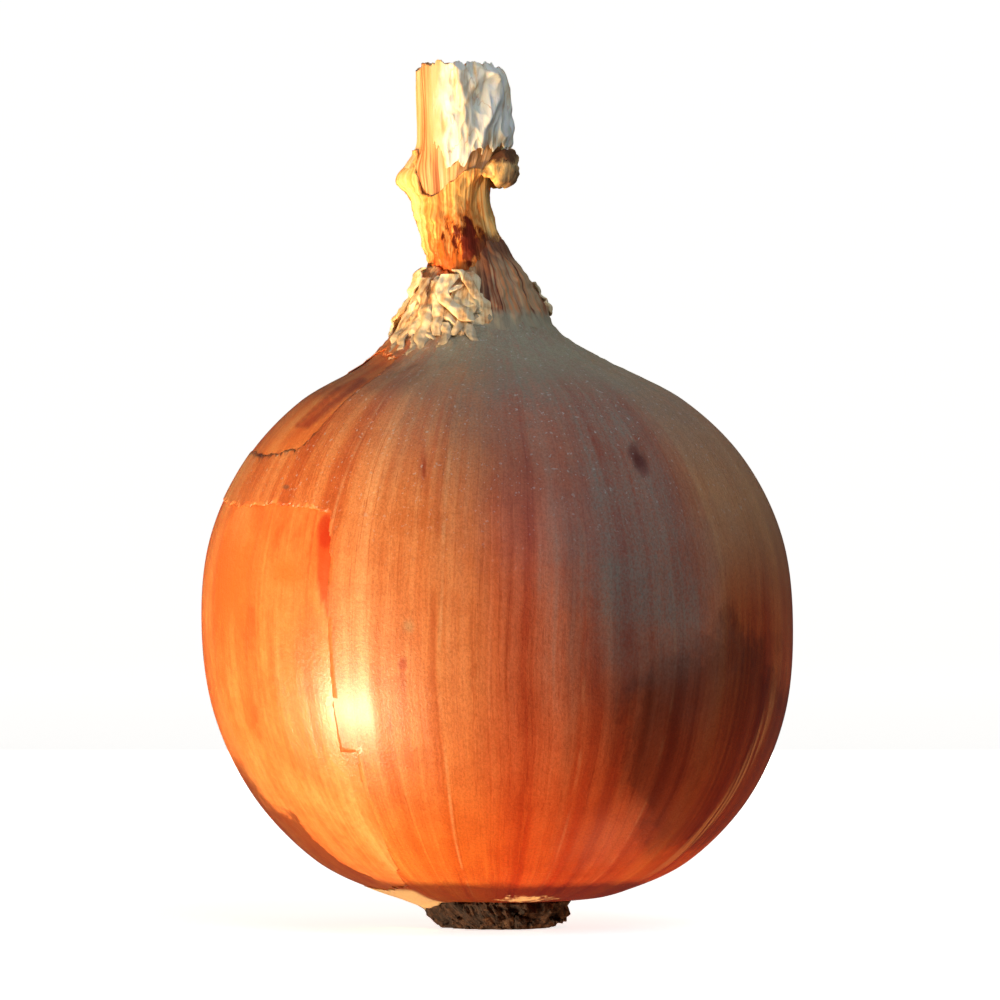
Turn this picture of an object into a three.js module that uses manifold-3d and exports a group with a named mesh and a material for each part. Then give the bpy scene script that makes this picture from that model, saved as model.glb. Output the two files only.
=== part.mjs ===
// A brown storage onion that stands on the small flat spot of its root plate.
// Millimetres, +Z up. The origin is the centre of the flat spot, and the viewer is on the -Y side.
// Angles are degrees round the bulb: 0 faces the viewer, 90 is the right, -90 is the left.
// Every outline below is a list of pairs: what is measured, then or after the height above the flat spot.
import * as THREE from 'three';
import { mergeVertices } from 'three/addons/utils/BufferGeometryUtils.js';
import Module from 'manifold-3d';

// Driving dimensions
const BULB_WIDTH = 76;
const BULB_WIDEST_AT = 38.5;
const CROWN_TOP = 80;
const NECK_TOP = 110.7;
const FLAT_SPOT_RADIUS = 6.8;
const SKIN_THICKNESS = 0.6;
const SHEATH_THICKNESS = 0.7;
const GAP = 0.3;
const VEINS = 30;
const VEIN_HEIGHT = 0.32;

// How finely the bodies are faceted
const BULB_SIDES = 2 * VEINS;
const BULB_RINGS = 23;
const SKIN_RINGS = 20;
const NECK_SIDES = 34;

// Half of the onion's outline, from the root end to the crown: radius, height
const outline = new THREE.SplineCurve([
  [10.5, 3.6], [15.5, 4.5], [24.0, 8.5], [31.8, 16.6], [36.6, 27.0], [BULB_WIDTH / 2, BULB_WIDEST_AT],
  [36.8, 49.8], [32.1, 59.8], [24.6, 67.5], [15.3, 72.5], [10.3, 76.4], [7.9, CROWN_TOP],
].map(([radius, height]) => new THREE.Vector2(radius, height)));

// The axis isn't quite straight, and the neck bends to the left: height, offset to the right, offset back
const LEAN = [
  [0, 0, 0], [8, 0.4, 0], [BULB_WIDEST_AT, -0.45, 0], [60, -0.85, 0], [71, -1.6, 0], [76, -3.0, 0],
  [82, -3.0, 0], [87, -4.7, 0.4], [93, -6.4, 0.8], [102, -5.1, 0.6], [NECK_TOP, -5.6, 0.2],
];

// Outer radius of the rolled sheaths of the neck, by height
const NECK_FOOT = CROWN_TOP + GAP;
const NECK_RADIUS = [[NECK_FOOT, 4.9], [86, 4.8], [93, 4.5], [98, 5.0], [102, 5.5], [NECK_TOP, 5.1]];

// The slanting torn rim of the sheath round the lower neck: angle, height, how far it flares out there
const SHEATH_FOOT = 80.7;
const SHEATH_RIM = [
  [-180, 93.2, 0.9], [-140, 95.0, 1.4], [-105, 99.0, 2.0], [-80, 98.6, 2.2], [-55, 94.4, 0.8],
  [-35, 93.4, 0.3], [0, 95.2, 0.4], [35, 97.0, 0.8], [62, 97.6, 1.6], [85, 99.2, 3.0],
  [105, 98.6, 2.8], [135, 94.6, 1.2], [180, 93.2, 0.9],
];

// The pale leaf on the right of the upper neck: angle, height of its lower edge, height of its top edge
const LEAF_EDGES = [
  [-26, 101.5, 107.2], [-12, 100.2, 109.6], [10, 99.4, 110.0], [45, 99.6, NECK_TOP], [80, 99.8, 110.2],
  [120, 99.6, 108.4], [150, 100.6, 106.0],
];

// The ragged collar round the foot of the neck: outer radius by height
const COLLAR_RADIUS = [[75, 11.4], [76.4, 10.4], [78, 9.1], [80.3, 8.0], [83, 7.4], [86, 7.0]];

// Where the outermost skin is torn away: angle, height
const LEFT_WINDOW = [
  [-30, 1], [-31, 8.6], [-30, 20.1], [-29, 23.3], [-33, 23.6], [-34.5, 30.3], [-34, 42], [-37, 52.8],
  [-46, 54.2], [-60, 54.0], [-74, 55.2], [-88, 54.4], [-103, 56.0], [-117, 50.5], [-125, 39],
  [-120, 26], [-124, 12], [-122, 1], [-100, 1], [-75, 1], [-50, 1],
];
const SHOULDER_TEAR = [
  [-72, 72.4], [-59, 68.4], [-55, 63.8], [-59, 60.6], [-70, 60.0], [-84, 61.4], [-98, 60.2],
  [-113, 62.6], [-118, 67.0], [-104, 70.0], [-90, 73.4],
];

const wasm = await Module();
wasm.setup();

// Repeatable random numbers from 0 to 1
function seededRandom(seed) {
  let state = seed;
  return () => {
    state = (state * 1664525 + 1013904223) % 4294967296;
    return state / 4294967296;
  };
}

// The value in a column of a table at a place in its first column, eased from row to row
function eased(table, place, column = 1) {
  const above = table.findIndex((row) => row[0] >= place);
  if (above === 0) return table[0][column];
  if (above < 0) return table[table.length - 1][column];
  const share = THREE.MathUtils.smoothstep(place, table[above - 1][0], table[above][0]);
  return THREE.MathUtils.lerp(table[above - 1][column], table[above][column], share);
}

// A point at an angle and a radius from the leaning axis
function round(angle, radius, height) {
  const turn = THREE.MathUtils.degToRad(angle);
  return new THREE.Vector3(
    eased(LEAN, height, 1) + radius * Math.sin(turn),
    eased(LEAN, height, 2) - radius * Math.cos(turn),
    height,
  );
}

// A geometry with shared vertices, no empty faces, and all faces pointing out
function closed(geometry) {
  geometry.deleteAttribute('normal');
  geometry.deleteAttribute('uv');
  const merged = mergeVertices(geometry, 1e-4);
  const position = merged.attributes.position;
  const faces = [];
  let volume = 0;
  for (let start = 0; start < merged.index.count; start += 3) {
    const face = [0, 1, 2].map((corner) => merged.index.getX(start + corner));
    if (new Set(face).size === 3) {
      const [a, b, c] = face.map((corner) => new THREE.Vector3().fromBufferAttribute(position, corner));
      volume += a.dot(b.cross(c));
      faces.push(face);
    }
  }
  if (volume < 0) faces.forEach((face) => face.reverse());
  merged.setIndex(faces.flat());
  merged.computeVertexNormals();
  return merged;
}

function toSolid(geometry) {
  const shared = closed(geometry);
  return new wasm.Manifold(new wasm.Mesh({
    numProp: 3,
    vertProperties: Float32Array.from(shared.attributes.position.array),
    triVerts: Uint32Array.from(shared.index.array),
  }));
}

function toGeometry(solid) {
  const mesh = solid.getMesh();
  const geometry = new THREE.BufferGeometry();
  geometry.setAttribute('position', new THREE.BufferAttribute(Float32Array.from(mesh.vertProperties), 3));
  geometry.setIndex(Array.from(mesh.triVerts));
  geometry.computeVertexNormals();
  return geometry;
}

// A closed body turned about the axis: place says where the point of a side and a ring goes
function turned(sides, rings, place) {
  const profile = Array.from({ length: rings }, (_, ring) => new THREE.Vector2(1, ring));
  const geometry = new THREE.LatheGeometry(profile, sides);
  const position = geometry.attributes.position;
  for (let index = 0; index < position.count; index += 1) {
    const point = place(Math.floor(index / rings) % sides, index % rings);
    position.setXYZ(index, point.x, point.y, point.z);
  }
  return geometry;
}

// A wall turned about the axis: up its outer face and down its inner one, by the share of its height
function turnedWall(sides, rings, place) {
  return turned(sides, 2 * rings + 1, (side, ring) => {
    const step = ring % (2 * rings);
    const outside = step < rings;
    const share = (outside ? step : 2 * rings - 1 - step) / (rings - 1);
    return place(side, share, outside);
  });
}

// A thin bent strip: place says where the point goes from its shares across, along and through it
function strip(columns, rows, place) {
  const geometry = new THREE.BoxGeometry(1, 1, 1, columns, 1, rows);
  const position = geometry.attributes.position;
  for (let index = 0; index < position.count; index += 1) {
    const point = place(
      position.getX(index) + 0.5,
      position.getZ(index) + 0.5,
      position.getY(index) + 0.5,
    );
    position.setXYZ(index, point.x, point.y, point.z);
  }
  return geometry;
}

// The sides of the bulb and its skin: every other one is a vein, at a slightly uneven spacing
const veinRandom = seededRandom(7);
const veinAngles = Array.from({ length: VEINS }, (_, vein) => (
  (vein + 0.5 * (veinRandom() - 0.5)) * (360 / VEINS) - 180
));
function bulbAngle(side) {
  const vein = Math.floor(side / 2);
  if (side % 2 === 0) return veinAngles[vein];
  const next = vein + 1 < VEINS ? veinAngles[vein + 1] : veinAngles[0] + 360;
  return (veinAngles[vein] + next) / 2;
}

// A point of the bulb's ribbed surface, at a share of the outline and a height above that outline
function onBulb(side, share, lift) {
  const point = outline.getPoint(share);
  const along = outline.getTangent(share);
  const vein = side % 2 === 0 ? VEIN_HEIGHT * Math.sin(Math.PI * share) : 0;
  const radius = point.x + along.y * (lift + vein);
  return round(bulbAngle(side), radius, point.y - along.x * (lift + vein));
}

// The bulb fills the skin, and its crown ends inside the collar
function bulb() {
  const depth = -(SKIN_THICKNESS + GAP);
  const dish = 1.0;
  return closed(turned(BULB_SIDES, BULB_RINGS + 2, (side, ring) => {
    if (ring === 0) return round(0, 0, outline.getPoint(0).y - depth + dish);
    if (ring === BULB_RINGS + 1) return round(0, 0, CROWN_TOP);
    return onBulb(side, (ring - 1) / (BULB_RINGS - 1), depth);
  }));
}

// A wedge from the axis outward, whose outline is drawn by angle and height
function tear(corners) {
  const shape = new THREE.Shape(corners.map(([angle, height]) => new THREE.Vector2(angle, height)));
  const geometry = new THREE.ExtrudeGeometry(shape, { depth: 1, bevelEnabled: false });
  const position = geometry.attributes.position;
  const inner = 5;
  const outer = 200;
  for (let index = 0; index < position.count; index += 1) {
    const radius = position.getZ(index) < 0.5 ? inner : outer;
    const turn = THREE.MathUtils.degToRad(position.getX(index));
    position.setXYZ(index, radius * Math.sin(turn), -radius * Math.cos(turn), position.getY(index));
  }
  return toSolid(geometry);
}

// The loose outermost skin, with ragged edges at the root and the crown
function outerSkin() {
  const random = seededRandom(23);
  const edges = Array.from({ length: BULB_SIDES }, () => [
    0.016 + 0.014 * random(),
    0.862 + 0.03 * random(),
  ]);
  // Between its edges, the skin's rings lie over the bulb's, so that the gap stays even
  const wall = turnedWall(BULB_SIDES, SKIN_RINGS, (side, share, outside) => {
    const ring = Math.round(share * (SKIN_RINGS - 1));
    let along = ring / (BULB_RINGS - 1);
    if (ring === 0) along = edges[side][0];
    if (ring === SKIN_RINGS - 1) along = edges[side][1];
    return onBulb(side, along, outside ? 0 : -SKIN_THICKNESS);
  });
  return toGeometry(toSolid(wall).subtract(tear(LEFT_WINDOW)).subtract(tear(SHOULDER_TEAR)));
}

// The long folds of the dry sheaths, which all layers of the neck share
function neckRadius(angle, height) {
  const turn = THREE.MathUtils.degToRad(angle);
  const folds = 0.05 * Math.cos(3 * turn + 0.6) + 0.045 * Math.cos(7 * turn + 0.05 * height)
    + 0.03 * Math.cos(11 * turn - 1.2);
  const flatter = 1 - 0.09 * Math.cos(turn) ** 2;
  return eased(NECK_RADIUS, height) * flatter * (1 + folds);
}

// The neck is cut off at the top, where the rolled layers show as rings of uneven depth
function neck() {
  const heights = [NECK_FOOT, 83, 86, 89, 92, 95, 97.5, 100, 102.5, 105, 107.5, NECK_TOP];
  const cutEnd = [
    [0.84, 0], [0.8, 1.3], [0.66, 1.3], [0.62, 0.2], [0.46, 0.2], [0.42, 1.7], [0.26, 1.7], [0.22, 0.5],
  ];
  const rings = 1 + heights.length + cutEnd.length + 1;
  return closed(turned(NECK_SIDES, rings, (side, ring) => {
    const angle = side * (360 / NECK_SIDES);
    if (ring === 0) return round(0, 0, NECK_FOOT);
    if (ring === rings - 1) return round(0, 0, NECK_TOP - cutEnd[cutEnd.length - 1][1]);
    if (ring <= heights.length) {
      const height = heights[ring - 1];
      return round(angle, neckRadius(angle, height), height);
    }
    const [share, drop] = cutEnd[ring - 1 - heights.length];
    const point = round(angle, share * neckRadius(angle, NECK_TOP), NECK_TOP);
    point.z -= drop;
    return point;
  }));
}

// The short sheath round the lower neck, torn along a slant and frilled on both sides
function neckSheath() {
  const random = seededRandom(41);
  const rings = 8;
  const nicks = Array.from({ length: NECK_SIDES }, () => 0.8 * (random() - 0.5));
  return closed(turnedWall(NECK_SIDES, rings, (side, share, outside) => {
    const angle = side * (360 / NECK_SIDES) - 180;
    const rim = eased(SHEATH_RIM, angle) + nicks[side];
    const height = THREE.MathUtils.lerp(SHEATH_FOOT, rim, share);
    const flare = eased(SHEATH_RIM, angle, 2) * THREE.MathUtils.smoothstep(share, 0.55, 1);
    const wall = outside ? SHEATH_THICKNESS : 0;
    return round(angle, neckRadius(angle, height) + GAP + 0.1 + flare + wall, height);
  }));
}

// The crumpled pale leaf stands a little off the neck
function neckLeaf() {
  const first = LEAF_EDGES[0][0];
  const last = LEAF_EDGES[LEAF_EDGES.length - 1][0];
  return closed(strip(18, 6, (across, along, through) => {
    const angle = THREE.MathUtils.lerp(first, last, across);
    const height = THREE.MathUtils.lerp(eased(LEAF_EDGES, angle, 1), eased(LEAF_EDGES, angle, 2), along);
    const crumple = 0.22 * (1 + Math.sin(0.16 * angle + 2.4 * along)) * (0.4 + along);
    return round(angle, neckRadius(angle, height) + 0.45 + crumple + SHEATH_THICKNESS * through, height);
  }));
}

// A shred of skin, rooted in the collar, that hangs out and down over the crown
function shred({ angle, root, length, width, stand, twist }) {
  return toSolid(strip(2, 5, (across, along, through) => {
    const height = root - length * along;
    const taper = 1 - 0.55 * along ** 2;
    const side = (across - 0.5) * width * taper;
    const sunk = 0.1 - SHEATH_THICKNESS;
    const lift = sunk + (0.75 + stand) * THREE.MathUtils.smoothstep(along, 0, 0.35);
    const radius = eased(COLLAR_RADIUS, height) + lift + Math.abs(side) * twist * along;
    const overSkin = 1.1 * THREE.MathUtils.smoothstep(along, 0.3, 1) * (height < 76 ? 1 : 0);
    const outlineRadius = height < 75 ? 11.4 + (75 - height) * 1.9 : 0;
    const outside = Math.max(radius, outlineRadius) + overSkin + 0.55 * through;
    return round(angle + THREE.MathUtils.radToDeg(side / 9), outside, height);
  }));
}

// The collar is a ragged cone round the foot of the neck, with its shreds grown into it
function collar() {
  const random = seededRandom(59);
  const sides = 36;
  const edges = Array.from({ length: sides }, () => [75.7 + 0.5 * random(), 84.2 + 1.6 * random()]);
  let solid = toSolid(turnedWall(sides, 5, (side, share, outside) => {
    const height = THREE.MathUtils.lerp(edges[side][0], edges[side][1], share);
    const wall = outside ? 0 : -SHEATH_THICKNESS;
    return round(side * (360 / sides), eased(COLLAR_RADIUS, height) + wall, height);
  }));
  const shreds = 13;
  for (let count = 0; count < shreds; count += 1) {
    solid = solid.add(shred({
      angle: (count + 0.5 * (random() - 0.5)) * (360 / shreds) - 180,
      root: 80.5 + 3 * random(),
      length: 4.5 + 5 * random(),
      width: 2.2 + 2 * random(),
      stand: 0.6 * random(),
      twist: 0.5 * (random() - 0.3),
    }));
  }
  return toGeometry(solid);
}

// The root plate is a rough cone with the flat spot below and dried root stubs round its edge
function rootPlate() {
  const random = seededRandom(83);
  const sides = 30;
  const profile = [[FLAT_SPOT_RADIUS, 0], [8.2, 0.9], [9.4, 2.2], [9.9, 3.3], [9.2, 4.1]];
  const rough = profile.map(() => Array.from({ length: sides }, () => 0.9 * (random() - 0.5)));
  const rings = profile.length + 2;
  let solid = toSolid(turned(sides, rings, (side, ring) => {
    if (ring === 0) return new THREE.Vector3(0, 0, 0);
    if (ring === rings - 1) return new THREE.Vector3(0, 0, profile[profile.length - 1][1]);
    const [radius, height] = profile[ring - 1];
    const point = round(side * (360 / sides), radius + rough[ring - 1][side], 0);
    point.z = height;
    return point;
  }));
  const stubs = 22;
  for (let count = 0; count < stubs; count += 1) {
    const length = 3.0 + 1.8 * random();
    const stub = new THREE.CylinderGeometry(0.65, 0.35, length, 5);
    stub.rotateX(THREE.MathUtils.degToRad(2 + 20 * random()));
    stub.translate(0, -(8.6 + 0.8 * random()), 1.7 + 1.1 * random());
    stub.rotateZ((count + 0.6 * random()) * (2 * Math.PI / stubs));
    solid = solid.add(toSolid(stub));
  }
  return toGeometry(solid);
}

function skinMaterial(color, roughness) {
  return new THREE.MeshStandardMaterial({ color, roughness, metalness: 0, side: THREE.DoubleSide });
}

function named(name, geometry, material) {
  const mesh = new THREE.Mesh(geometry, material);
  mesh.name = name;
  return mesh;
}

const body = new THREE.Group();
body.add(
  named('bulb', bulb(), skinMaterial(0xd9702c, 0.4)),
  named('outer_skin', outerSkin(), skinMaterial(0xb4552a, 0.35)),
  named('root_plate', rootPlate(), skinMaterial(0x3a2318, 0.9)),
);

const top = new THREE.Group();
top.add(
  named('neck', neck(), skinMaterial(0xdda565, 0.6)),
  named('neck_sheath', neckSheath(), skinMaterial(0xe0a04a, 0.6)),
  named('neck_leaf', neckLeaf(), skinMaterial(0xe6dcbc, 0.7)),
  named('collar', collar(), skinMaterial(0xd9b98a, 0.7)),
);

const onion = new THREE.Group();
onion.add(body, top);
export default onion;
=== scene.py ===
# %% [markdown]
# # A brown onion with a torn skin
#
# This lesson dresses a plain packed onion in its real surfaces: the ribbed inner skin, the thin
# papery skin with its tears, the dry neck, the ragged collar and the dark root plate.
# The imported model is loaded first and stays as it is. It gives every size and place below.

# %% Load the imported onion
import math

import bpy
import numpy as np
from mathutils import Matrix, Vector, noise


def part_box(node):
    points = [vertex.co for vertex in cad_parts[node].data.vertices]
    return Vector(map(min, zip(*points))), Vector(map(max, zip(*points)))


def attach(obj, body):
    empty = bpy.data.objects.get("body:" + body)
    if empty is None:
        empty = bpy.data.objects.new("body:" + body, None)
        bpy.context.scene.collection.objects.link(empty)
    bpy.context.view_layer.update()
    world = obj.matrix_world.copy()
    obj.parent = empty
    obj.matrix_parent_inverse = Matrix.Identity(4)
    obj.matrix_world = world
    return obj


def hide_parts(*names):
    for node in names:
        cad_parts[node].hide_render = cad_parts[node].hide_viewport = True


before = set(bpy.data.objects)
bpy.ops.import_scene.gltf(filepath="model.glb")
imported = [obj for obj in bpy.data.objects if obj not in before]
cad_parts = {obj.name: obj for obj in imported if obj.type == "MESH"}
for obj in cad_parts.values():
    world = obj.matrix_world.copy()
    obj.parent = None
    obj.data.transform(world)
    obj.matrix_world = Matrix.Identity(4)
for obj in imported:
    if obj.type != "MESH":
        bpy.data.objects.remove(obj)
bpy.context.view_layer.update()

# %% [markdown]
# ## Measures
#
# Everything is thought of in millimetres and turned into metres with one factor. The onion stands on
# z = 0. Angles go round it in degrees: 0 faces the viewer, 90 is the right, -90 the left.
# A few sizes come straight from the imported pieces, so that the looks follow them.

# %% Sizes from the frame
MM = 0.001
neck_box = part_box("neck")
skin_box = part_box("outer_skin")
NECK_TOP = neck_box[1].z / MM
NECK_FOOT = neck_box[0].z / MM
SKIN_REACH = skin_box[1].y / MM
FLAT_SPOT = 6.8
print(f"neck {NECK_FOOT:.1f} to {NECK_TOP:.1f} mm up, skin {SKIN_REACH:.1f} mm from the axis")

# %% [markdown]
# ## The outline and the leaning axis
#
# Half of the onion's outline is a smooth curve through a few points. The axis isn't straight: the
# neck bends to the left and comes back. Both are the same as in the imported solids, so each detailed
# surface lands where its solid is.

# %% The outline and the lean
OUTLINE = np.array([
    (10.5, 3.6), (15.5, 4.5), (24.0, 8.5), (31.8, 16.6), (36.6, 27.0), (38.0, 38.5),
    (36.8, 49.8), (32.1, 59.8), (24.6, 67.5), (15.3, 72.5), (10.3, 76.4), (7.9, 80.0),
])
LEAN = [
    (0, 0, 0), (8, 0.4, 0), (38.5, -0.45, 0), (60, -0.85, 0), (71, -1.6, 0), (76, -3.0, 0),
    (82, -3.0, 0), (87, -4.7, 0.4), (93, -6.4, 0.8), (102, -5.1, 0.6), (110.7, -5.6, 0.2),
]


def eased(table, place, column=1):
    """The value in a column of a table, on a smooth curve through its rows."""
    rows = np.array(table, float)
    ends, values = rows[:, 0], rows[:, column]
    steps = np.diff(values) / np.diff(ends)
    slopes = np.zeros(len(values))
    same_way = steps[:-1] * steps[1:] > 0
    slopes[1:-1][same_way] = 2 / (1 / steps[:-1][same_way] + 1 / steps[1:][same_way])
    place = np.clip(place, ends[0], ends[-1])
    above = np.clip(np.searchsorted(ends, place), 1, len(ends) - 1)
    width = ends[above] - ends[above - 1]
    t = (place - ends[above - 1]) / width
    value = values[above - 1] * (1 + 2 * t) * (1 - t) ** 2 + values[above] * t * t * (3 - 2 * t)
    return value + width * t * (1 - t) * (slopes[above - 1] * (1 - t) - slopes[above] * t)


def round_axis(angle, radius, height):
    """Points in metres at an angle and a radius from the leaning axis."""
    turn = np.radians(angle)
    across = eased(LEAN, height, 1) + radius * np.sin(turn)
    back = eased(LEAN, height, 2) - radius * np.cos(turn)
    return np.stack([across, back, height + 0 * across], axis=-1) * MM


def outline_at(share):
    """Radius, height and the outward direction of the outline at shares from root to crown."""
    place = np.clip(share, 0, 1) * (len(OUTLINE) - 1)
    start = np.clip(np.floor(place).astype(int), 0, len(OUTLINE) - 2)
    t = (place - start)[..., None]
    before, here = OUTLINE[np.maximum(start - 1, 0)], OUTLINE[start]
    there, after = OUTLINE[start + 1], OUTLINE[np.minimum(start + 2, len(OUTLINE) - 1)]
    leave, reach = (there - before) / 2, (after - here) / 2
    point = (2 * here - 2 * there + leave + reach) * t**3
    point += (3 * there - 3 * here - 2 * leave - reach) * t**2 + leave * t + here
    along = 3 * (2 * here - 2 * there + leave + reach) * t**2
    along += 2 * (3 * there - 3 * here - 2 * leave - reach) * t + leave
    along /= np.linalg.norm(along, axis=-1, keepdims=True)
    return point[..., 0], point[..., 1], along[..., 1], -along[..., 0]


def bump(value, middle, width):
    """1 at the middle, falling to nothing a few widths away."""
    return np.exp(-((value - middle) / width) ** 2)


print("the outline is widest at", round(float(outline_at(np.linspace(0, 1, 200))[0].max()), 2), "mm")

# %% [markdown]
# ## Sheets
#
# Almost every surface here is a sheet: skin round the bulb, sheaths round the neck, shreds, a leaf.
# A sheet starts as Blender's grid. Its points are then moved to where the sheet lies, from their
# shares across and along it, its edges are merged where they meet, and Solidify gives it a thickness.
# A closed body is the same thing with both ends gathered to a point.

# %% Helpers for sheets
def alone(piece):
    """Select one piece and nothing else."""
    bpy.ops.object.select_all(action="DESELECT")
    piece.select_set(True)
    bpy.context.view_layer.objects.active = piece


def points_of(piece):
    """The places of a piece's points, in metres."""
    flat = np.zeros(3 * len(piece.data.vertices))
    piece.data.vertices.foreach_get("co", flat)
    return flat.reshape(-1, 3)


def put_points(piece, points):
    piece.data.vertices.foreach_set("co", np.asarray(points, float).ravel())
    piece.data.update()


def weld(piece, distance=0.00002):
    """Merge the points that meet and turn all faces outward."""
    alone(piece)
    bpy.ops.object.mode_set(mode="EDIT")
    bpy.ops.mesh.select_all(action="SELECT")
    bpy.ops.mesh.remove_doubles(threshold=distance)
    bpy.ops.mesh.normals_make_consistent(inside=False)
    bpy.ops.object.mode_set(mode="OBJECT")
    bpy.ops.object.shade_smooth()


def sheet_of(name, columns, rows, place):
    """A grid whose points go where place says, from their shares across and along it."""
    bpy.ops.object.select_all(action="DESELECT")
    bpy.ops.mesh.primitive_grid_add(x_subdivisions=columns, y_subdivisions=rows, size=1, calc_uvs=True)
    piece = bpy.context.object
    piece.name = piece.data.name = name
    flat = points_of(piece)
    put_points(piece, place(flat[:, 0] + 0.5, flat[:, 1] + 0.5))
    weld(piece)
    return piece


def applied(piece, kind, **settings):
    """Add a modifier with these settings and apply it."""
    alone(piece)
    modifier = piece.modifiers.new(kind.title(), kind)
    for setting, value in settings.items():
        setattr(modifier, setting, value)
    bpy.ops.object.modifier_apply(modifier=modifier.name)
    return piece


def thicken(piece, thickness):
    """Give a sheet a wall that grows inward from it."""
    return applied(piece, "SOLIDIFY", thickness=thickness * MM, offset=-1, use_even_offset=False)


def lumps(points, size, octaves=3, seed=0):
    """Smooth random values from about -1 to 1, whose lumps are about size millimetres wide."""
    shift = Vector((17.3 * seed, 5.1 * seed, 9.7 * seed))
    scaled = np.asarray(points) / (size * MM)
    return np.array([noise.fractal(Vector(p) + shift, 1.0, 2.0, octaves) for p in scaled])


def dressed(piece, slot, *nodes):
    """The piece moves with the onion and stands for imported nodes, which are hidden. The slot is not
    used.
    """
    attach(piece, "root")
    if nodes:
        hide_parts(*nodes)
    print(piece.name, len(piece.data.polygons), "faces")
    return piece


# %% [markdown]
# ## The veins
#
# An onion's skin is stiffened by veins that run from the root to the neck. Between two strong veins
# the skin lies nearly flat, so the bulb is very slightly faceted. The strong veins stand where the
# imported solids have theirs, and finer ones are scattered between them.

# %% The relief of the skin
VEINS, VEIN_HEIGHT, VEIN_WIDTH = 30, 0.08, 1.5
FINE_VEINS, FINE_HEIGHT, FINE_WIDTH = 120, 0.05, 0.8


def repeatable(seed):
    """Numbers from 0 to 1 that are the same each time."""
    state = seed
    while True:
        state = (state * 1664525 + 1013904223) % 4294967296
        yield state / 4294967296


vein_random = repeatable(7)
vein_angles = np.array([
    (vein + 0.5 * (next(vein_random) - 0.5)) * (360 / VEINS) - 180 for vein in range(VEINS)
])
vein_strengths = np.array([0.35 + 0.65 * next(vein_random) for _ in range(VEINS)])
fine_angles = np.array([360 * next(vein_random) - 180 for _ in range(FINE_VEINS)])
fine_strengths = np.array([next(vein_random) ** 2 for _ in range(FINE_VEINS)])


def apart(angle, other):
    """Degrees between two angles, the short way round."""
    return (angle - other + 180) % 360 - 180


def skin_relief(angle, share):
    """How far veins and flats lift the skin, in millimetres."""
    wander = 1.2 * np.sin(5 * share + np.radians(angle))
    fade = np.sin(np.pi * np.clip(share, 0, 1)) ** 0.7
    relief = np.zeros_like(angle)
    for vein, strength in zip(vein_angles, vein_strengths):
        gap = apart(angle + wander, vein)
        relief += VEIN_HEIGHT * strength * np.exp(-((gap / VEIN_WIDTH) ** 2))
    for vein, strength in zip(fine_angles, fine_strengths):
        gap = apart(angle + wander, vein)
        relief += FINE_HEIGHT * strength * np.exp(-(gap / FINE_WIDTH) ** 2)
    sway = 0.16 * np.sin(np.radians(3 * angle + 40) + 2.0 * share)
    sway = sway + 0.10 * np.sin(np.radians(7 * angle) - 5.0 * share)
    return fade * (relief + sway - 0.15)


print("veins from", vein_angles.min().round(), "to", vein_angles.max().round(), "degrees")

# %% [markdown]
# ## The bulb and its inner skin
#
# The bulb is a closed body. The sheet's long way goes from a dish over the root plate, up the outline
# and across the top of the crown. It stays a little inside the papery skin, which lies over it.
# Spin could turn it from its outline as a lathe does, but then all sides would be alike. Moving the
# points of a grid lets each vein stand at its own angle.

# %% The bulb
SKIN_WALL = 0.07
SKIN_LIFT = 0.02
BULB_COLUMNS, BULB_ROWS = 300, 150
GATHERED = 0.04
DISH = 1.0


def on_bulb(angle, share, lift):
    """Points of the ribbed surface at a lift above the outline, in metres."""
    radius, height, outward, upward = outline_at(share)
    lift = lift + skin_relief(angle, share)
    return round_axis(angle, radius + outward * lift, height + upward * lift)


def place_bulb(across, along):
    angle = 360 * across - 180
    share = np.clip((along - GATHERED) / (1 - 2 * GATHERED), 0, 1)
    points = on_bulb(angle, share, -(SKIN_WALL + SKIN_LIFT))
    below = np.clip(1 - along / GATHERED, 0, 1)
    above = np.clip((along - (1 - GATHERED)) / GATHERED, 0, 1)
    middle = round_axis(angle, 0 * angle, points[:, 2] / MM)
    points[:, :2] += (middle - points)[:, :2] * (below + above)[:, None]
    points[:, 2] += DISH * MM * (3 * below**2 - 2 * below**3)
    return points


bulb = sheet_of("bulb_skin", BULB_COLUMNS, BULB_ROWS, place_bulb)
dressed(bulb, "inner_skin", "bulb")

# %% [markdown]
# ## The papery skin
#
# The outermost skin is a sheet of its own, thinner than a fingernail. It ends in a ragged edge at the
# root and at the crown, and it is torn away on the left. A tear is cut with a wedge that starts at the
# axis: a flat outline, drawn by angle and height, is extruded and scaled outward through the skin.
# Near a tear the skin curls up a little, so that the edge throws a fine shadow on the layer below.
# A transparent patch in the material would be quicker, but it has no edge with a thickness, and it is
# lost where only the mesh is used.

# %% Outlines of the two tears
LEFT_WINDOW = [
    (-38, 6.0), (-33, 8.6), (-30.6, 13.7), (-31, 20.1), (-30, 23.3), (-34.3, 23.3),
    (-33.9, 29.1), (-33.7, 35.5),
    (-34.4, 42), (-34.2, 47), (-36, 52.9), (-45, 53.9), (-57, 54.1), (-67, 53.8), (-88, 54.8),
    (-101, 55.6), (-110, 55.2), (-117, 52.5), (-120.5, 47), (-121.5, 39), (-120, 31), (-122, 24),
    (-121, 15), (-123, 8), (-122, 1), (-100, 1), (-84, 3.0), (-79, 5.4), (-62, 4.9),
]
SHOULDER_TEAR = [
    (-72, 73.8), (-52, 72.6), (-48.9, 70.5), (-48.7, 68.4), (-49.9, 65.5), (-50.8, 63.1), (-53.6, 61.1),
    (-60, 60.5), (-69, 60.3), (-84, 60.8), (-98, 60.2), (-113, 62.6), (-118, 67.0), (-104, 70.0),
    (-90, 73.4),
]


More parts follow.
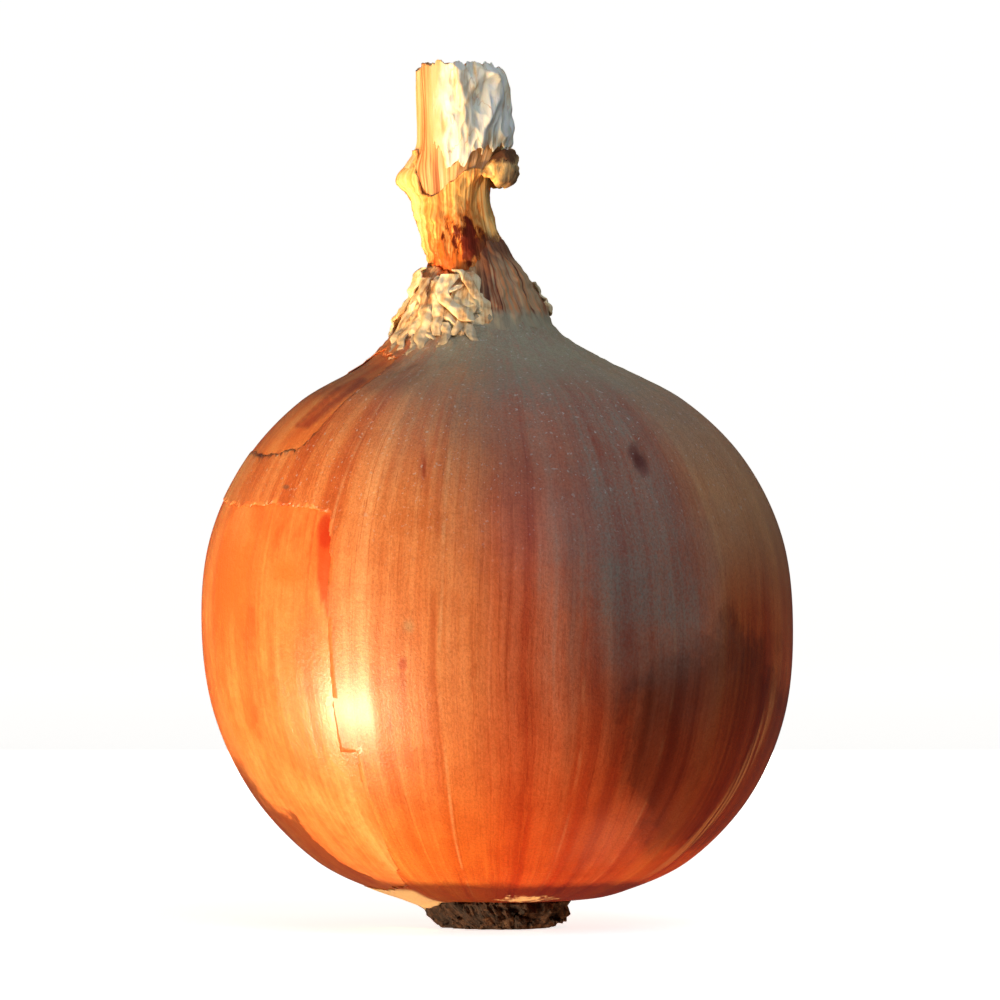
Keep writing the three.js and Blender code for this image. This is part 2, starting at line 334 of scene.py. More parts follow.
def ragged(corners, step, jitter, seed):
    """The same outline with a point every step degrees or millimetres, each pushed a little."""
    draws = repeatable(seed)
    made = []
    for here, there in zip(corners, corners[1:] + corners[:1]):
        here, there = np.array(here, float), np.array(there, float)
        count = max(1, int(np.linalg.norm(there - here) / step))
        for part in range(count):
            point = here + (there - here) * part / count
            swing = noise.noise(Vector((point[0] / 4, point[1] / 3, seed)))
            push = np.array([next(draws) - 0.5, next(draws) - 0.5]) * jitter
            made.append(point + push + 0.45 * swing)
    return np.array(made)


def edge_distance(angle, height, radius, corners):
    """Millimetres along the skin from points to the nearest stretch of an outline."""
    nearest = np.full(len(angle), 1e9)
    for here, there in zip(corners, np.roll(corners, -1, axis=0)):
        ahead_x, ahead_y = np.radians(there[0] - here[0]) * radius, there[1] - here[1]
        from_x, from_y = np.radians(angle - here[0]) * radius, height - here[1]
        share = (from_x * ahead_x + from_y * ahead_y) / (ahead_x**2 + ahead_y**2 + 1e-9)
        share = np.clip(share, 0, 1)
        nearest = np.minimum(nearest, np.hypot(from_x - share * ahead_x, from_y - share * ahead_y))
    return nearest


window_edge = ragged(LEFT_WINDOW, 0.6, 0.22, 3)
shoulder_edge = ragged(SHOULDER_TEAR, 0.6, 0.22, 5)
print(len(window_edge), "points round the window,", len(shoulder_edge), "round the shoulder tear")

# %% The skin before it is torn
SKIN_COLUMNS, SKIN_ROWS = 300, 130
SKIN_LOW, SKIN_HIGH = 0.012, 0.955
CURL, CURL_REACH = 0.04, 1.5
FLAP_ANGLE, FLAP_WIDTH, FLAP_DROP = -62, 15, 1.3


def place_skin(across, along):
    angle = 360 * across - 180
    fringe = 0.008 * np.sin(np.radians(23 * angle)) + 0.006 * np.sin(np.radians(41 * angle) + 1)
    low = SKIN_LOW + 0.5 * fringe
    share = low + (SKIN_HIGH + fringe - low) * along
    radius, height, _, _ = outline_at(share)
    near = np.minimum(
        edge_distance(angle, height, radius, window_edge),
        edge_distance(angle, height, radius, shoulder_edge),
    )
    curl = CURL * np.exp(-(near / CURL_REACH) ** 2) * (0.6 + 0.4 * np.sin(height * 0.9 + angle * 0.2))
    points = on_bulb(angle, share, np.clip(curl, 0, None))
    crown = np.clip((height - 69) / 4, 0, 1)
    crust = crown * (0.05 + 0.35 * np.clip(lumps(points, 1.6, seed=12), 0, 1))
    points[:, 2] += MM * crust
    foot = np.clip(1 - share / 0.085, 0, 1)
    points[:, 2] -= FLAP_DROP * MM * bump(angle, FLAP_ANGLE, FLAP_WIDTH) * foot
    return points


papery = sheet_of("papery_skin", SKIN_COLUMNS, SKIN_ROWS, place_skin)
thicken(papery, SKIN_WALL)

# %% Tear the skin
WEDGE_START, WEDGE_GROWTH = 5.0, 40


def wedge(name, corners):
    """A closed wedge from the axis outward, with an outline drawn by angle and height."""
    bpy.ops.object.select_all(action="DESELECT")
    bpy.ops.mesh.primitive_circle_add(vertices=len(corners), radius=1, fill_type="NGON")
    cutter = bpy.context.object
    cutter.name = name
    turn = np.radians(corners[:, 0])
    flat = np.stack([np.sin(turn), -np.cos(turn), corners[:, 1] / WEDGE_START], axis=-1)
    put_points(cutter, flat * WEDGE_START * MM)
    bpy.ops.object.mode_set(mode="EDIT")
    bpy.ops.mesh.select_all(action="SELECT")
    bpy.ops.mesh.extrude_region_move()
    bpy.ops.transform.resize(value=(WEDGE_GROWTH, WEDGE_GROWTH, 1), center_override=(0, 0, 0))
    bpy.ops.mesh.select_all(action="SELECT")
    bpy.ops.mesh.quads_convert_to_tris()
    bpy.ops.mesh.normals_make_consistent(inside=False)
    bpy.ops.object.mode_set(mode="OBJECT")
    return cutter


for name, edge in (("window", window_edge), ("shoulder", shoulder_edge)):
    cutter = wedge(name, edge)
    applied(papery, "BOOLEAN", operation="DIFFERENCE", object=cutter, solver="MANIFOLD")
    bpy.data.objects.remove(cutter)
dressed(papery, "papery_skin", "outer_skin")

# %% [markdown]
# ## The neck
#
# The neck is what is left of the leaves: their dry sheaths, rolled one inside the other and cut off.
# Dry tissue shrinks into long folds. A few broad ones are waves that all layers share, which keeps
# each layer clear of the next, and the fine ones come from a noise that changes quickly round the
# neck and slowly along it. On the cut end the layers show as one groove that winds inward. Bump alone
# would leave the neck's outline as straight as a pipe, so all of this is in the mesh.

# %% The rolled neck
NECK_RADIUS = [(80.3, 4.9), (86, 4.8), (93, 4.3), (98, 4.9), (102, 5.5), (110.7, 5.15)]
FOLDS = [(3, 0.05, 0.6, 0.0), (7, 0.035, 0.0, 0.05), (11, 0.02, -1.2, 0.0)]
NECK_COLUMNS, NECK_ROWS = 240, 160
SIDE_SHARE, FOOT_SHARE = 0.74, 0.02
ROLL_PITCH, ROLL_DEPTH = 0.95, 1.5


def neck_radius(angle, height):
    turn = np.radians(angle)
    folds = sum(
        size * np.cos(count * turn + start + drift * height) for count, size, start, drift in FOLDS
    )
    flatter = 1 - 0.09 * np.cos(turn) ** 2
    return eased(NECK_RADIUS, height) * flatter * (1 + folds)


def slimmed(angle, height):
    """The share of the neck's radius that is left where its top is pinched on the right."""
    return 1 - 0.22 * bump(angle, 90, 50) * bump(height, 111.5, 1.7)


def long_folds(angle, height, size, seed, stretch=0.14):
    """Irregular folds about size millimetres wide that run along the neck."""
    turn = np.radians(angle)
    points = np.stack([5 * np.sin(turn), -5 * np.cos(turn), stretch * height + 0 * turn], axis=-1)
    return lumps(points * MM, size, octaves=3, seed=seed)


def place_neck(across, along):
    angle = 360 * across - 180
    climb = np.clip((along - FOOT_SHARE) / (SIDE_SHARE - FOOT_SHARE), 0, 1)
    rim_drop = 0.5 + 0.5 * np.sin(np.radians(2 * angle) + 1) * np.sin(np.radians(5 * angle))
    height = NECK_FOOT + (NECK_TOP - rim_drop - NECK_FOOT) * climb
    folds = 0.30 * long_folds(angle, height, 2.4, 21) + 0.10 * long_folds(angle, height, 0.8, 22)
    swell = 1.9 * bump(angle, -92, 34) * bump(height, 96.6, 2.4)
    radius = (neck_radius(angle, height) + folds + swell) * slimmed(angle, height)
    inward = np.clip((along - SIDE_SHARE) / (1 - SIDE_SHARE), 0, 1)
    foot = np.clip(along / FOOT_SHARE, 0, 1)
    cut_radius = radius * (1 - inward) * foot
    wobble = 0.12 * np.sin(np.radians(2 * angle)) + 0.07 * np.sin(np.radians(5 * angle) + 1)
    winding = cut_radius / ROLL_PITCH + across + wobble
    groove = np.abs((winding % 1) - 0.5) * 2
    depth = ROLL_DEPTH * (1 - groove) ** 1.5 * np.clip(inward * 12, 0, 1)
    points = round_axis(angle, cut_radius, height)
    points[:, 2] -= depth * MM * np.clip(cut_radius / 0.8, 0, 1)
    return points


neck = sheet_of("rolled_neck", NECK_COLUMNS, NECK_ROWS, place_neck)
dressed(neck, "neck_fibre", "neck")

# %% [markdown]
# ## The sheath round the lower neck
#
# A short dry sheath wraps the lower neck. Its rim was torn along a slant. On the left the rim bulges
# into a soft lip that closes on the neck again, and on the right it hangs over outward in a hook.
# The hook is a path that the sheet takes near its rim, blended in by angle. It could be sculpted too,
# but a path in a short table is easy to correct.

# %% The sheath
SHEATH_FOOT = 80.7
SHEATH_RIM = [
    (-180, 93.2), (-140, 95.0), (-108, 99.2), (-82, 99.4), (-64, 96.8), (-48, 93.6), (-35, 93.2),
    (0, 95.2), (30, 97.2), (62, 97.6), (135, 94.6), (180, 93.2),
]
HOOK = [
    (0, 0, 0), (0.15, 0.6, 1.6), (0.3, 1.2, 2.8), (0.45, 2.1, 3.1), (0.6, 2.8, 2.2), (0.75, 3.1, 0.7),
    (0.88, 2.7, -0.7), (1, 1.6, -1.1),
]
HOOK_START, HOOK_HEIGHT = 0.6, 96.0
SHEATH_WALL = 0.3


def place_sheath(across, along):
    angle = 360 * across - 180
    nicks = 0.3 * long_folds(angle, 7.0 + 0 * angle, 1.1, 31)
    nicks = nicks + 0.15 * long_folds(angle, 9.0 + 0 * angle, 0.4, 32)
    rim = eased(SHEATH_RIM, angle) + nicks
    height = SHEATH_FOOT + (rim - SHEATH_FOOT) * along
    lip = 2.1 * bump(angle, -95, 30) * bump(height, 95.8, 1.9)
    folds = 0.16 * long_folds(angle, height, 1.6, 33) + 0.07 * long_folds(angle, height, 0.6, 34)
    radius = neck_radius(angle, height) + 0.42 + folds + lip + 0.2 * along**6
    hook = bump(angle, 80, 32)
    turned = np.clip((along - HOOK_START) / (1 - HOOK_START), 0, 1)
    start = SHEATH_FOOT + (HOOK_HEIGHT - SHEATH_FOOT) * np.clip(along / HOOK_START, 0, 1)
    height = height + (start + eased(HOOK, turned, 2) - height) * np.clip(1.3 * hook, 0, 1)
    return round_axis(angle, radius + eased(HOOK, turned, 1) * hook, height)


sheath = sheet_of("neck_sheath_skin", 280, 100, place_sheath)
points = points_of(sheath)
hooked = np.clip(points[:, 0] / MM + 1.0, 0, 1) * bump(points[:, 2] / MM, 97, 2.8)
rough = 0.26 * lumps(points, 1.7) + 0.50 * hooked * lumps(points, 1.0, octaves=2, seed=8)
put_points(sheath, points + MM * rough[:, None])
thicken(sheath, SHEATH_WALL)
dressed(sheath, "sheath", "neck_sheath")

# %% [markdown]
# ## The pale leaf
#
# On the right of the upper neck clings a crumpled leaf as thin as tissue. Its big creases are soft
# ridges along drawn lines: one parts in two like a heart, others run straight down. A ridge lifts the
# sheet by how near a point is to its line. Small creases come from noise: where its value crosses
# zero, its absolute value has a sharp fold. Cloth simulation would crumple the leaf as well, but the
# creases would lie in other places.

# %% The leaf
LEAF_EDGES = [
    (-38, 100.4, 110.2), (-24, 98.8, 110.4), (-8, 97.6, 110.5), (6, 97.6, 110.4), (22, 99.2, 110.5),
    (45, 99.8, 110.5), (80, 99.8, 110.2), (120, 99.4, 109.2), (150, 100.6, 107.4),
]
CREASES = [
    (0.75, 0.75, [(-6, 111), (2, 108.5), (8, 105.7), (17, 106.5), (26, 108.0), (37, 109.3), (50, 109.0)]),
    (0.95, 0.80, [
        (50, 109.0), (57, 107.9), (54, 105.9), (42, 103.9), (30, 102.0), (27, 99.7), (30, 98.0),
    ]),
    (0.42, 0.55, [(-17, 111), (-16, 107.1), (-9, 104.6), (-1, 100.7), (6, 97.0)]),
    (0.42, 0.60, [(3, 104.4), (9, 101.5), (16, 97.0)]),
    (0.30, 0.80, [(66, 108.5), (74, 103.5), (80, 99.0)]),
    (0.34, 0.45, [(-28, 111), (-24, 107), (-26, 103), (-20, 99)]),
    (0.36, 0.45, [(-8, 103.4), (-14, 101.5), (-15, 98)]),
    (0.60, 0.80, [(98, 110), (92, 104), (104, 100)]),
    (0.50, 0.70, [(120, 109), (128, 104), (122, 101)]),
]
LEAF_LIFT, LEAF_WALL = 0.32, 0.22


def line_distance(angle, height, radius, line):
    """Millimetres from points to an open line through angles and heights."""
    nearest = np.full(len(angle), 1e9)
    for here, there in zip(line, line[1:]):
        stretch = np.array([here, there], float)
        nearest = np.minimum(nearest, edge_distance(angle, height, radius, stretch))
    return nearest


def place_leaf(across, along):
    angle = LEAF_EDGES[0][0] + (LEAF_EDGES[-1][0] - LEAF_EDGES[0][0]) * across
    nicks = 1.1 * long_folds(angle, 3.0 + 0 * angle, 1.0, 41)
    nicks = nicks + 0.5 * long_folds(angle, 4.0 + 0 * angle, 0.4, 42)
    low, high = eased(LEAF_EDGES, angle, 1), eased(LEAF_EDGES, angle, 2)
    height = low + nicks + (high - low - 0.5 * nicks) * along
    radius = neck_radius(angle, height) * slimmed(angle, height)
    lift = LEAF_LIFT
    for rise, width, line in CREASES:
        distance = line_distance(angle, height, radius, line)
        lift = lift + rise * np.exp(-(distance / width) ** 1.6)
    points = round_axis(angle, radius, height) * np.array([1, 1, 0.4])
    small = 0.26 * (1 - np.abs(lumps(points, 1.6, octaves=2, seed=3)) * 2.6)
    sides = np.clip(np.minimum(across, 1 - across) * 7, 0, 1)
    return round_axis(angle, radius + LEAF_WALL + (lift + small) * sides, height)


leaf = sheet_of("crumpled_leaf", 200, 140, place_leaf)
thicken(leaf, LEAF_WALL)
dressed(leaf, "pale_leaf", "neck_leaf")

# %% [markdown]
# ## The collar
#
# Round the foot of the neck the older skins shrink to a leathery cone that the neck grows out of. It
# reaches higher on the right than on the left. It is one more sheet round the axis, drawn in at its
# top until it lies on the neck, because a gap there would show as a dark ring.

# %% The collar
COLLAR_RADIUS = [
    (70, 18), (72, 15.4), (73.5, 13.0), (75.1, 11.1), (77.7, 9.4), (80.3, 8.0), (82.8, 6.9), (84.1, 6.35),
    (85.4, 5.95), (88.5, 5.7),
]
COLLAR_TOP = [
    (-180, 85), (-120, 84.8), (-90, 84.6), (-60, 84.2), (-20, 83.6), (0, 84.4), (20, 86.0), (50, 87.8),
    (100, 88), (150, 86), (180, 85),
]
COLLAR_WALL = 0.3


def place_collar(across, along):
    angle = 360 * across - 180
    top = eased(COLLAR_TOP, angle) + 0.8 * long_folds(angle, 1.0 + 0 * angle, 1.3, 51)
    low = 76.2 + 0.4 * np.sin(np.radians(8 * angle) + 2)
    low = low + 0.5 * long_folds(angle, 2.0 + 0 * angle, 1.0, 52)
    height = low + (top - low) * along
    folds = 0.55 * long_folds(angle, height, 1.5, 53, 0.5) + 0.3 * long_folds(angle, height, 0.7, 54, 0.4)
    cone = eased(COLLAR_RADIUS, height) + 0.08 + folds * np.clip(5 * along, 0, 1)
    snug = neck_radius(angle, height) + 0.75
    closing = np.exp(-(top - height) / 1.1)
    return round_axis(angle, cone + (snug - cone) * closing, height)


collar = sheet_of("collar_cone", 280, 60, place_collar)
put_points(collar, points_of(collar) + 0.12 * MM * lumps(points_of(collar), 1.8, seed=5)[:, None])
thicken(collar, COLLAR_WALL)
dressed(collar, "sheath", "collar")

# %% [markdown]
# ## The shreds
#
# Torn strips of the old skins hang over the cone. Each is a narrow sheet, curled across like a rolled
# leaf, that follows a line of angles, heights and lifts, narrows to a rounded end and is crumpled a
# little. The strips in front are placed one by one. Those at the back come from repeatable random
# numbers. Under those in front lies a crumpled skirt, one wide sheet with creases, from which most of
# the strips have torn. Particles could scatter strips in one step, but none would lie where it was
# torn off. All of them are joined into one object at the end.

# %% The crumpled skirt
SKIRT_SIDES = (-80, 14)
SKIRT_WALL = 0.25


def place_skirt(across, along):
    angle = SKIRT_SIDES[0] + (SKIRT_SIDES[1] - SKIRT_SIDES[0]) * across
    top = 83.6 + 0.9 * long_folds(angle, 5.0 + 0 * angle, 1.4, 61) - 2.6 * bump(angle, -29, 9)
    low = 73.6 + 1.4 * long_folds(angle, 6.0 + 0 * angle, 1.1, 62)
    low = low + 3.2 * bump(across, 1, 0.22)
    height = low + (top - low) * along
    cone = eased(COLLAR_RADIUS, height) + 0.3
    snug = neck_radius(angle, height) + 0.85
    cone = cone + (snug - cone) * np.exp(-(top - height) / 1.2)
    points = round_axis(angle, cone, height)
    creased = 1 - np.abs(lumps(points * np.array([1, 1, 0.5]), 3.2, octaves=2, seed=9)) * 2.6
    small = 1 - np.abs(lumps(points * np.array([1, 1, 0.6]), 1.3, octaves=2, seed=10)) * 2
    inner = np.clip(6 * np.minimum(np.minimum(across, 1 - across), 1.2 - along), 0, 1)
    sunk = 0.55 * (1 - np.clip(7 * np.minimum(along, 8 * np.minimum(across, 1 - across)), 0, 1))
    inner = inner * np.clip(5 * along, 0, 1)
    relief = (0.85 * np.clip(creased, -0.3, 1) + 0.14 * small) * inner
    return round_axis(angle, cone - sunk + relief, height)


skirt = sheet_of("skirt", 200, 90, place_skirt)
thicken(skirt, SKIRT_WALL)

# %% The shreds
FRONT_SHREDS = [
    (1.7, [(-18, 84.0, 0.0), (-10, 82.9, 0.3), (-3, 81.4, 0.5), (1, 79.8, 0.5), (0, 78.4, 0.1)]),
    (2.8, [(-26, 83.4, 0.2), (-30, 81.8, 0.6), (-24, 80.0, 0.9), (-13, 78.8, 0.9), (-5, 77.4, 0.8)]),
    (2.6, [(-62, 83.0, 0.1), (-50, 80.6, 0.5), (-41, 78.4, 0.6), (-37, 76.0, 0.6), (-36, 73.8, 0.3)]),
    (2.0, [(-44, 82.6, 0.2), (-35, 80.4, 0.6), (-29, 78.0, 0.8), (-26, 75.6, 0.6)]),
    (1.8, [(-3, 81.4, 0.1), (-3, 79.6, 0.5), (-9, 77.6, 0.7), (-15, 75.6, 0.6)]),
    (1.5, [(-22, 77.2, 0.6), (-19, 75.4, 0.7), (-23, 74.0, 0.4)]),
    (1.6, [(-9, 77.4, 0.4), (-4, 76.0, 0.8), (-2, 74.8, 0.6), (-7, 73.6, 0.3)]),
    (1.5, [(-56, 77.6, 0.3), (-52, 75.6, 0.6), (-50, 73.9, 0.4), (-53, 72.6, 0.2)]),
    (1.7, [(-66, 77.0, 0.0), (-63, 75.6, 0.4), (-60, 74.2, 0.4), (-61, 72.9, 0.0)]),
    (1.4, [(-44, 75.6, 0.5), (-41, 74.2, 0.6), (-45, 72.9, 0.3)]),
    (4.0, [(-80, 84.4, -0.8), (-83, 83.8, -0.2), (-86, 82.6, 0.2), (-86, 81.4, 0.0), (-84, 80.4, -0.7)]),
    (1.3, [(-14, 82.0, 0.8), (-22, 81.2, 1.2), (-30, 80.6, 1.1)]),
]
BACK_SHREDS, BACK_START, BACK_REACH = 22, 106, 158
SHRED_LOW, SHRED_WALL = 73.2, 0.28


def shred(name, width, line, seed):
    """One torn strip along a line of angles, heights and lifts, in degrees and millimetres."""
    line = np.array(line, float)
    steps = np.linspace(0, 1, len(line))

    def place(across, along):
        tables = (np.stack([steps, line[:, part]], axis=1) for part in range(3))
        angle, height, lift = (eased(table, along) for table in tables)
        end = np.sqrt(np.clip(1 - np.clip((along - 0.8) / 0.2, 0, 1) ** 2, 0.03, 1))
        side = (2 * across - 1) * (0.85 + 0.15 * np.sin(9 * along + seed)) * end
        curl = width * 0.5 * end * np.sqrt(np.clip(1 - side**2, 0, 1))
        radius = eased(COLLAR_RADIUS, height) + lift + 0.6 * curl
        turn = np.degrees(side * width / 2 / radius)
        return round_axis(angle + turn, radius, height - 0.25 * curl * along**3)

    piece = sheet_of(name, 18, 48, place)
    points = points_of(piece)
    crumple = 0.50 * lumps(points, 1.6, octaves=2, seed=seed) + 0.07 * lumps(points, 0.6, seed=seed + 1)
    away = points - round_axis(0, 0, points[:, 2] / MM)
    away /= np.linalg.norm(away, axis=1, keepdims=True)
    put_points(piece, points + MM * crumple[:, None] * away)
    return thicken(piece, SHRED_WALL)


draws = repeatable(59)
pieces = [shred(f"shred_{n}", width, line, n) for n, (width, line) in enumerate(FRONT_SHREDS)]
for number in range(BACK_SHREDS):
    angle = BACK_START + (number + 0.8 * next(draws)) * BACK_REACH / BACK_SHREDS
    top, length, drift = 79.5 + 5 * next(draws), 3.5 + 3.5 * next(draws), 14 * (next(draws) - 0.5)
    bottom = max(top - length, SHRED_LOW)
    line = [
        (angle, top, 0.1), (angle + drift, top - 0.4 * (top - bottom), 0.2 + 0.3 * next(draws)),
        (angle - drift, bottom + 1.2, 0.3 + 0.3 * next(draws)), (angle, bottom, 0.1),
    ]
    pieces.append(shred(f"back_shred_{number}", 1.6 + 1.6 * next(draws), line, number + 40))
alone(skirt)
for piece in pieces:
    piece.select_set(True)
bpy.ops.object.join()
shreds = bpy.context.object
shreds.name = shreds.data.name = "collar_shreds"
dressed(shreds, "shreds", "collar")

# %% [markdown]
# ## The root plate
#
# Below the bulb sits the root plate, a hard dark disc that the roots grew from. It begins as a
# cylinder that is cut into rings, which are widened into a low cone. Its two ends are inset again and
# again until their faces are small, and then all of it is subdivided and roughened. Without the
# small faces the noise would only dent the rim. Dried root stubs, thin cones bent a little, stick out
# round its edge. The flat spot that the onion stands on stays flat.

# %% The root plate
PLATE_TOP = 4.0
PLATE_CUTS = (0.9, 2.2, 3.3)
PLATE_WIDER = (1, 1.16, 1.34, 1.42, 1.36)


def roughen(piece, size, depth, seed):
    """Push points in and out by lumps of a size and a depth in millimetres, never below the floor."""
    points = points_of(piece)
    out = points.copy()
    out[:, 2] = 0
    out /= np.linalg.norm(out, axis=1, keepdims=True) + 1e-9
    points += out * (depth * MM * lumps(points, size, seed=seed))[:, None]
    points[:, 2] = np.maximum(points[:, 2], 0)
    put_points(piece, points)


bpy.ops.object.select_all(action="DESELECT")
bpy.ops.mesh.primitive_cylinder_add(
    vertices=96, radius=FLAT_SPOT * MM, depth=PLATE_TOP * MM, location=(0, 0, PLATE_TOP * MM / 2),
    end_fill_type="NGON",
)
plate = bpy.context.object
plate.name = plate.data.name = "root_plate_disc"
bpy.ops.object.transform_apply(location=True)
bpy.ops.object.mode_set(mode="EDIT")
bpy.ops.mesh.select_all(action="SELECT")
for low in PLATE_CUTS:
    bpy.ops.mesh.bisect(plane_co=(0, 0, low * MM), plane_no=(0, 0, 1))
    bpy.ops.mesh.select_all(action="SELECT")
bpy.ops.mesh.select_all(action="DESELECT")
bpy.ops.object.mode_set(mode="OBJECT")
cone = points_of(plate)
widen = np.interp(cone[:, 2] / MM, (0, *PLATE_CUTS, PLATE_TOP), PLATE_WIDER)
cone[:, :2] *= widen[:, None]
cone[:, 0] -= 1.0 * MM * np.clip(cone[:, 2] / MM / 3, 0, 1)
put_points(plate, cone)
alone(plate)
bpy.ops.object.mode_set(mode="EDIT")
bpy.ops.mesh.select_all(action="SELECT")
for _ in range(7):
    bpy.ops.mesh.select_mode(type="FACE")
    bpy.ops.mesh.select_all(action="DESELECT")
    bpy.ops.object.mode_set(mode="OBJECT")
    for face in plate.data.polygons:
        face.select = len(face.vertices) > 4
    bpy.ops.object.mode_set(mode="EDIT")
    bpy.ops.mesh.inset(thickness=0.8 * MM)
bpy.ops.mesh.select_all(action="SELECT")
bpy.ops.mesh.subdivide(number_cuts=1)
bpy.ops.object.mode_set(mode="OBJECT")
roughen(plate, 2.6, 1.3, 8)
roughen(plate, 0.8, 0.5, 9)

# %% The root stubs
STUBS = 46


def root_stub(name, angle, reach, length, thick, droop, seed):
    """A thin cone that points outward from the plate, bent and drooping."""
    bpy.ops.object.select_all(action="DESELECT")
    bpy.ops.mesh.primitive_cone_add(
        vertices=7, radius1=thick * MM, radius2=0.45 * thick * MM, depth=length * MM, end_fill_type="NGON"
    )
    stub = bpy.context.object
    stub.name = stub.data.name = name
    bpy.ops.object.mode_set(mode="EDIT")
    bpy.ops.mesh.select_all(action="SELECT")
    for cut in range(1, 6):
        low = (cut / 6 - 0.5) * length * MM
        bpy.ops.mesh.bisect(plane_co=(0, 0, low), plane_no=(0, 0, 1))
        bpy.ops.mesh.select_all(action="SELECT")
    bpy.ops.object.mode_set(mode="OBJECT")
    points = points_of(stub) / MM
    out = points[:, 2] + length / 2
    bend = 0.35 * np.sin(out * 1.3 + seed)
    height = 2.0 + points[:, 1] - droop * out + 0.25 * np.sin(out * 1.9 + 2 * seed)
    turn = math.radians(angle)
    side = points[:, 0] + bend
    across = (reach + out) * math.sin(turn) + side * math.cos(turn)
    back = -(reach + out) * math.cos(turn) + side * math.sin(turn)
    put_points(stub, np.stack([across, back, np.maximum(height, 0.15 + 0.1 * points[:, 1])], axis=1) * MM)
    return stub


stubs = []
for number in range(STUBS):
    stubs.append(root_stub(
        f"stub_{number}",
        angle=(number + next(draws)) * 360 / STUBS,
        reach=6.2 + 0.8 * next(draws),
        length=1.2 + 1.4 * next(draws),
        thick=0.5 + 0.5 * next(draws),
        droop=0.2 + 0.5 * next(draws),
        seed=number,
    ))
alone(plate)
for piece in stubs:
    piece.select_set(True)
bpy.ops.object.join()
plate = bpy.context.object
plate.name = plate.data.name = "root_plate_rough"
dressed(plate, "root", "root_plate")

# %% [markdown]
# ## Words for the materials
#
# A material is a small net of nodes. Typed out link by link it can't be read, so a few short words
# put a node in and join it up: noise, fade, ramp, mix, times, plus and minus. What several skins
# share, such as streaks along the onion, spots, dust, the painted shadow round the foot and the grain
# of dry paper, is a node group that is built once and then placed in each material with its own values.
# Every pattern is drawn in Object coordinates, in metres, so it stays where it is on the onion.

# %% Short words for nodes
class Wiring:
    """Puts nodes into one tree and joins them."""

    def __init__(self, tree):
        self.tree = tree
        self.tatters = {}

    def feed(self, socket, value):
        if isinstance(value, bpy.types.NodeSocket):
            self.tree.links.new(value, socket)
        else:
            socket.default_value = value

    def put(self, kind, values=(), out=0, **settings):
        made = self.tree.nodes.new("ShaderNode" + kind)
        for setting, value in settings.items():
            setattr(made, setting, value)
        for name, value in dict(values).items():
            self.feed(made.inputs[name], value)
        return made.outputs[out]

    def use(self, group, values=(), out=0):
        """Place a shared effect with its own values."""
        made = self.tree.nodes.new("ShaderNodeGroup")
        made.node_tree = bpy.data.node_groups[group]
        for name, value in dict(values).items():
            self.feed(made.inputs[name], value)
        return made.outputs[out]

    def math(self, operation, first, second=0.0):
        return self.put("Math", {0: first, 1: second}, operation=operation)

    def times(self, first, second):
        return self.math("MULTIPLY", first, second)

    def plus(self, first, second):
        return self.math("ADD", first, second)

    def minus(self, first, second):
        return self.math("SUBTRACT", first, second)

    def swing(self, value, size):
        """A value that varies round one half, as a swing of this size round zero."""
        return self.times(self.minus(value, 0.5), size)

    def axes(self, place):
        """How far a place lies across, back and up."""
        return [self.put("SeparateXYZ", {0: place}, axis) for axis in range(3)]

    def turn(self, across, back, shift):
        """The angle round an axis that stands a shift to the left, in radians."""
        return self.math("ARCTAN2", self.plus(across, shift), self.times(back, -1.0))

    def vector(self, operation, first, second=(0, 0, 0), out=0):
        return self.put("VectorMath", {0: first, 1: second}, out, operation=operation)

    def fade(self, value, low, high):
        """0 below low, 1 above high and eased between them."""
        values = {"Value": value, "From Min": low, "From Max": high}
        return self.put("MapRange", values, interpolation_type="SMOOTHSTEP")

    def mix(self, share, first, second, blend="MIX"):
        values = {0: share, 6: first, 7: second}
        return self.put("Mix", values, 2, data_type="RGBA", blend_type=blend)

    def noise(self, place, scale, detail=3.0, roughness=0.55, out=0):
        values = {"Vector": place, "Scale": scale, "Detail": detail, "Roughness": roughness}
        return self.put("TexNoise", values, out)

    def ramp(self, value, *stops):
        """A colour for a value, from stops of a place and a colour."""
        made = self.tree.nodes.new("ShaderNodeValToRGB")
        self.feed(made.inputs[0], value)
        elements = made.color_ramp.elements
        while len(elements) < len(stops):
            elements.new(0.5)
        for element, (place, colour) in zip(elements, stops):
            element.position = place
            element.color = (*colour, 1)
        return made.outputs[0]


def effect(name, takes, gives):
    """A new node group: its wiring, its input sockets and its one output."""
    tree = bpy.data.node_groups.new(name, "ShaderNodeTree")
    for label, kind in takes:
        tree.interface.new_socket(label, in_out="INPUT", socket_type="NodeSocket" + kind)
    tree.interface.new_socket(gives, in_out="OUTPUT", socket_type="NodeSocketFloat")
    entrance = tree.nodes.new("NodeGroupInput")
    leaving = tree.nodes.new("NodeGroupOutput")
    return Wiring(tree), entrance.outputs, leaving.inputs[gives]


# %% [markdown]
# ## Streaks, spots, dust and grain
#
# Streaks follow the onion from root to neck. The direction of a point from the axis, without its
# distance, goes into a noise with only a little of its height: so the streaks draw together towards
# both ends, as the veins of a real skin do, and there is no seam at the back.
# A spot is an ellipsoid with a tattered edge, dust is a noise that is let through where there is much
# of it, and the foot shadow is a dark band of painted shadow that lies low round the foot and climbs
# higher on the left.

# %% The shared effects
AXIS_SHIFT = 0.0005

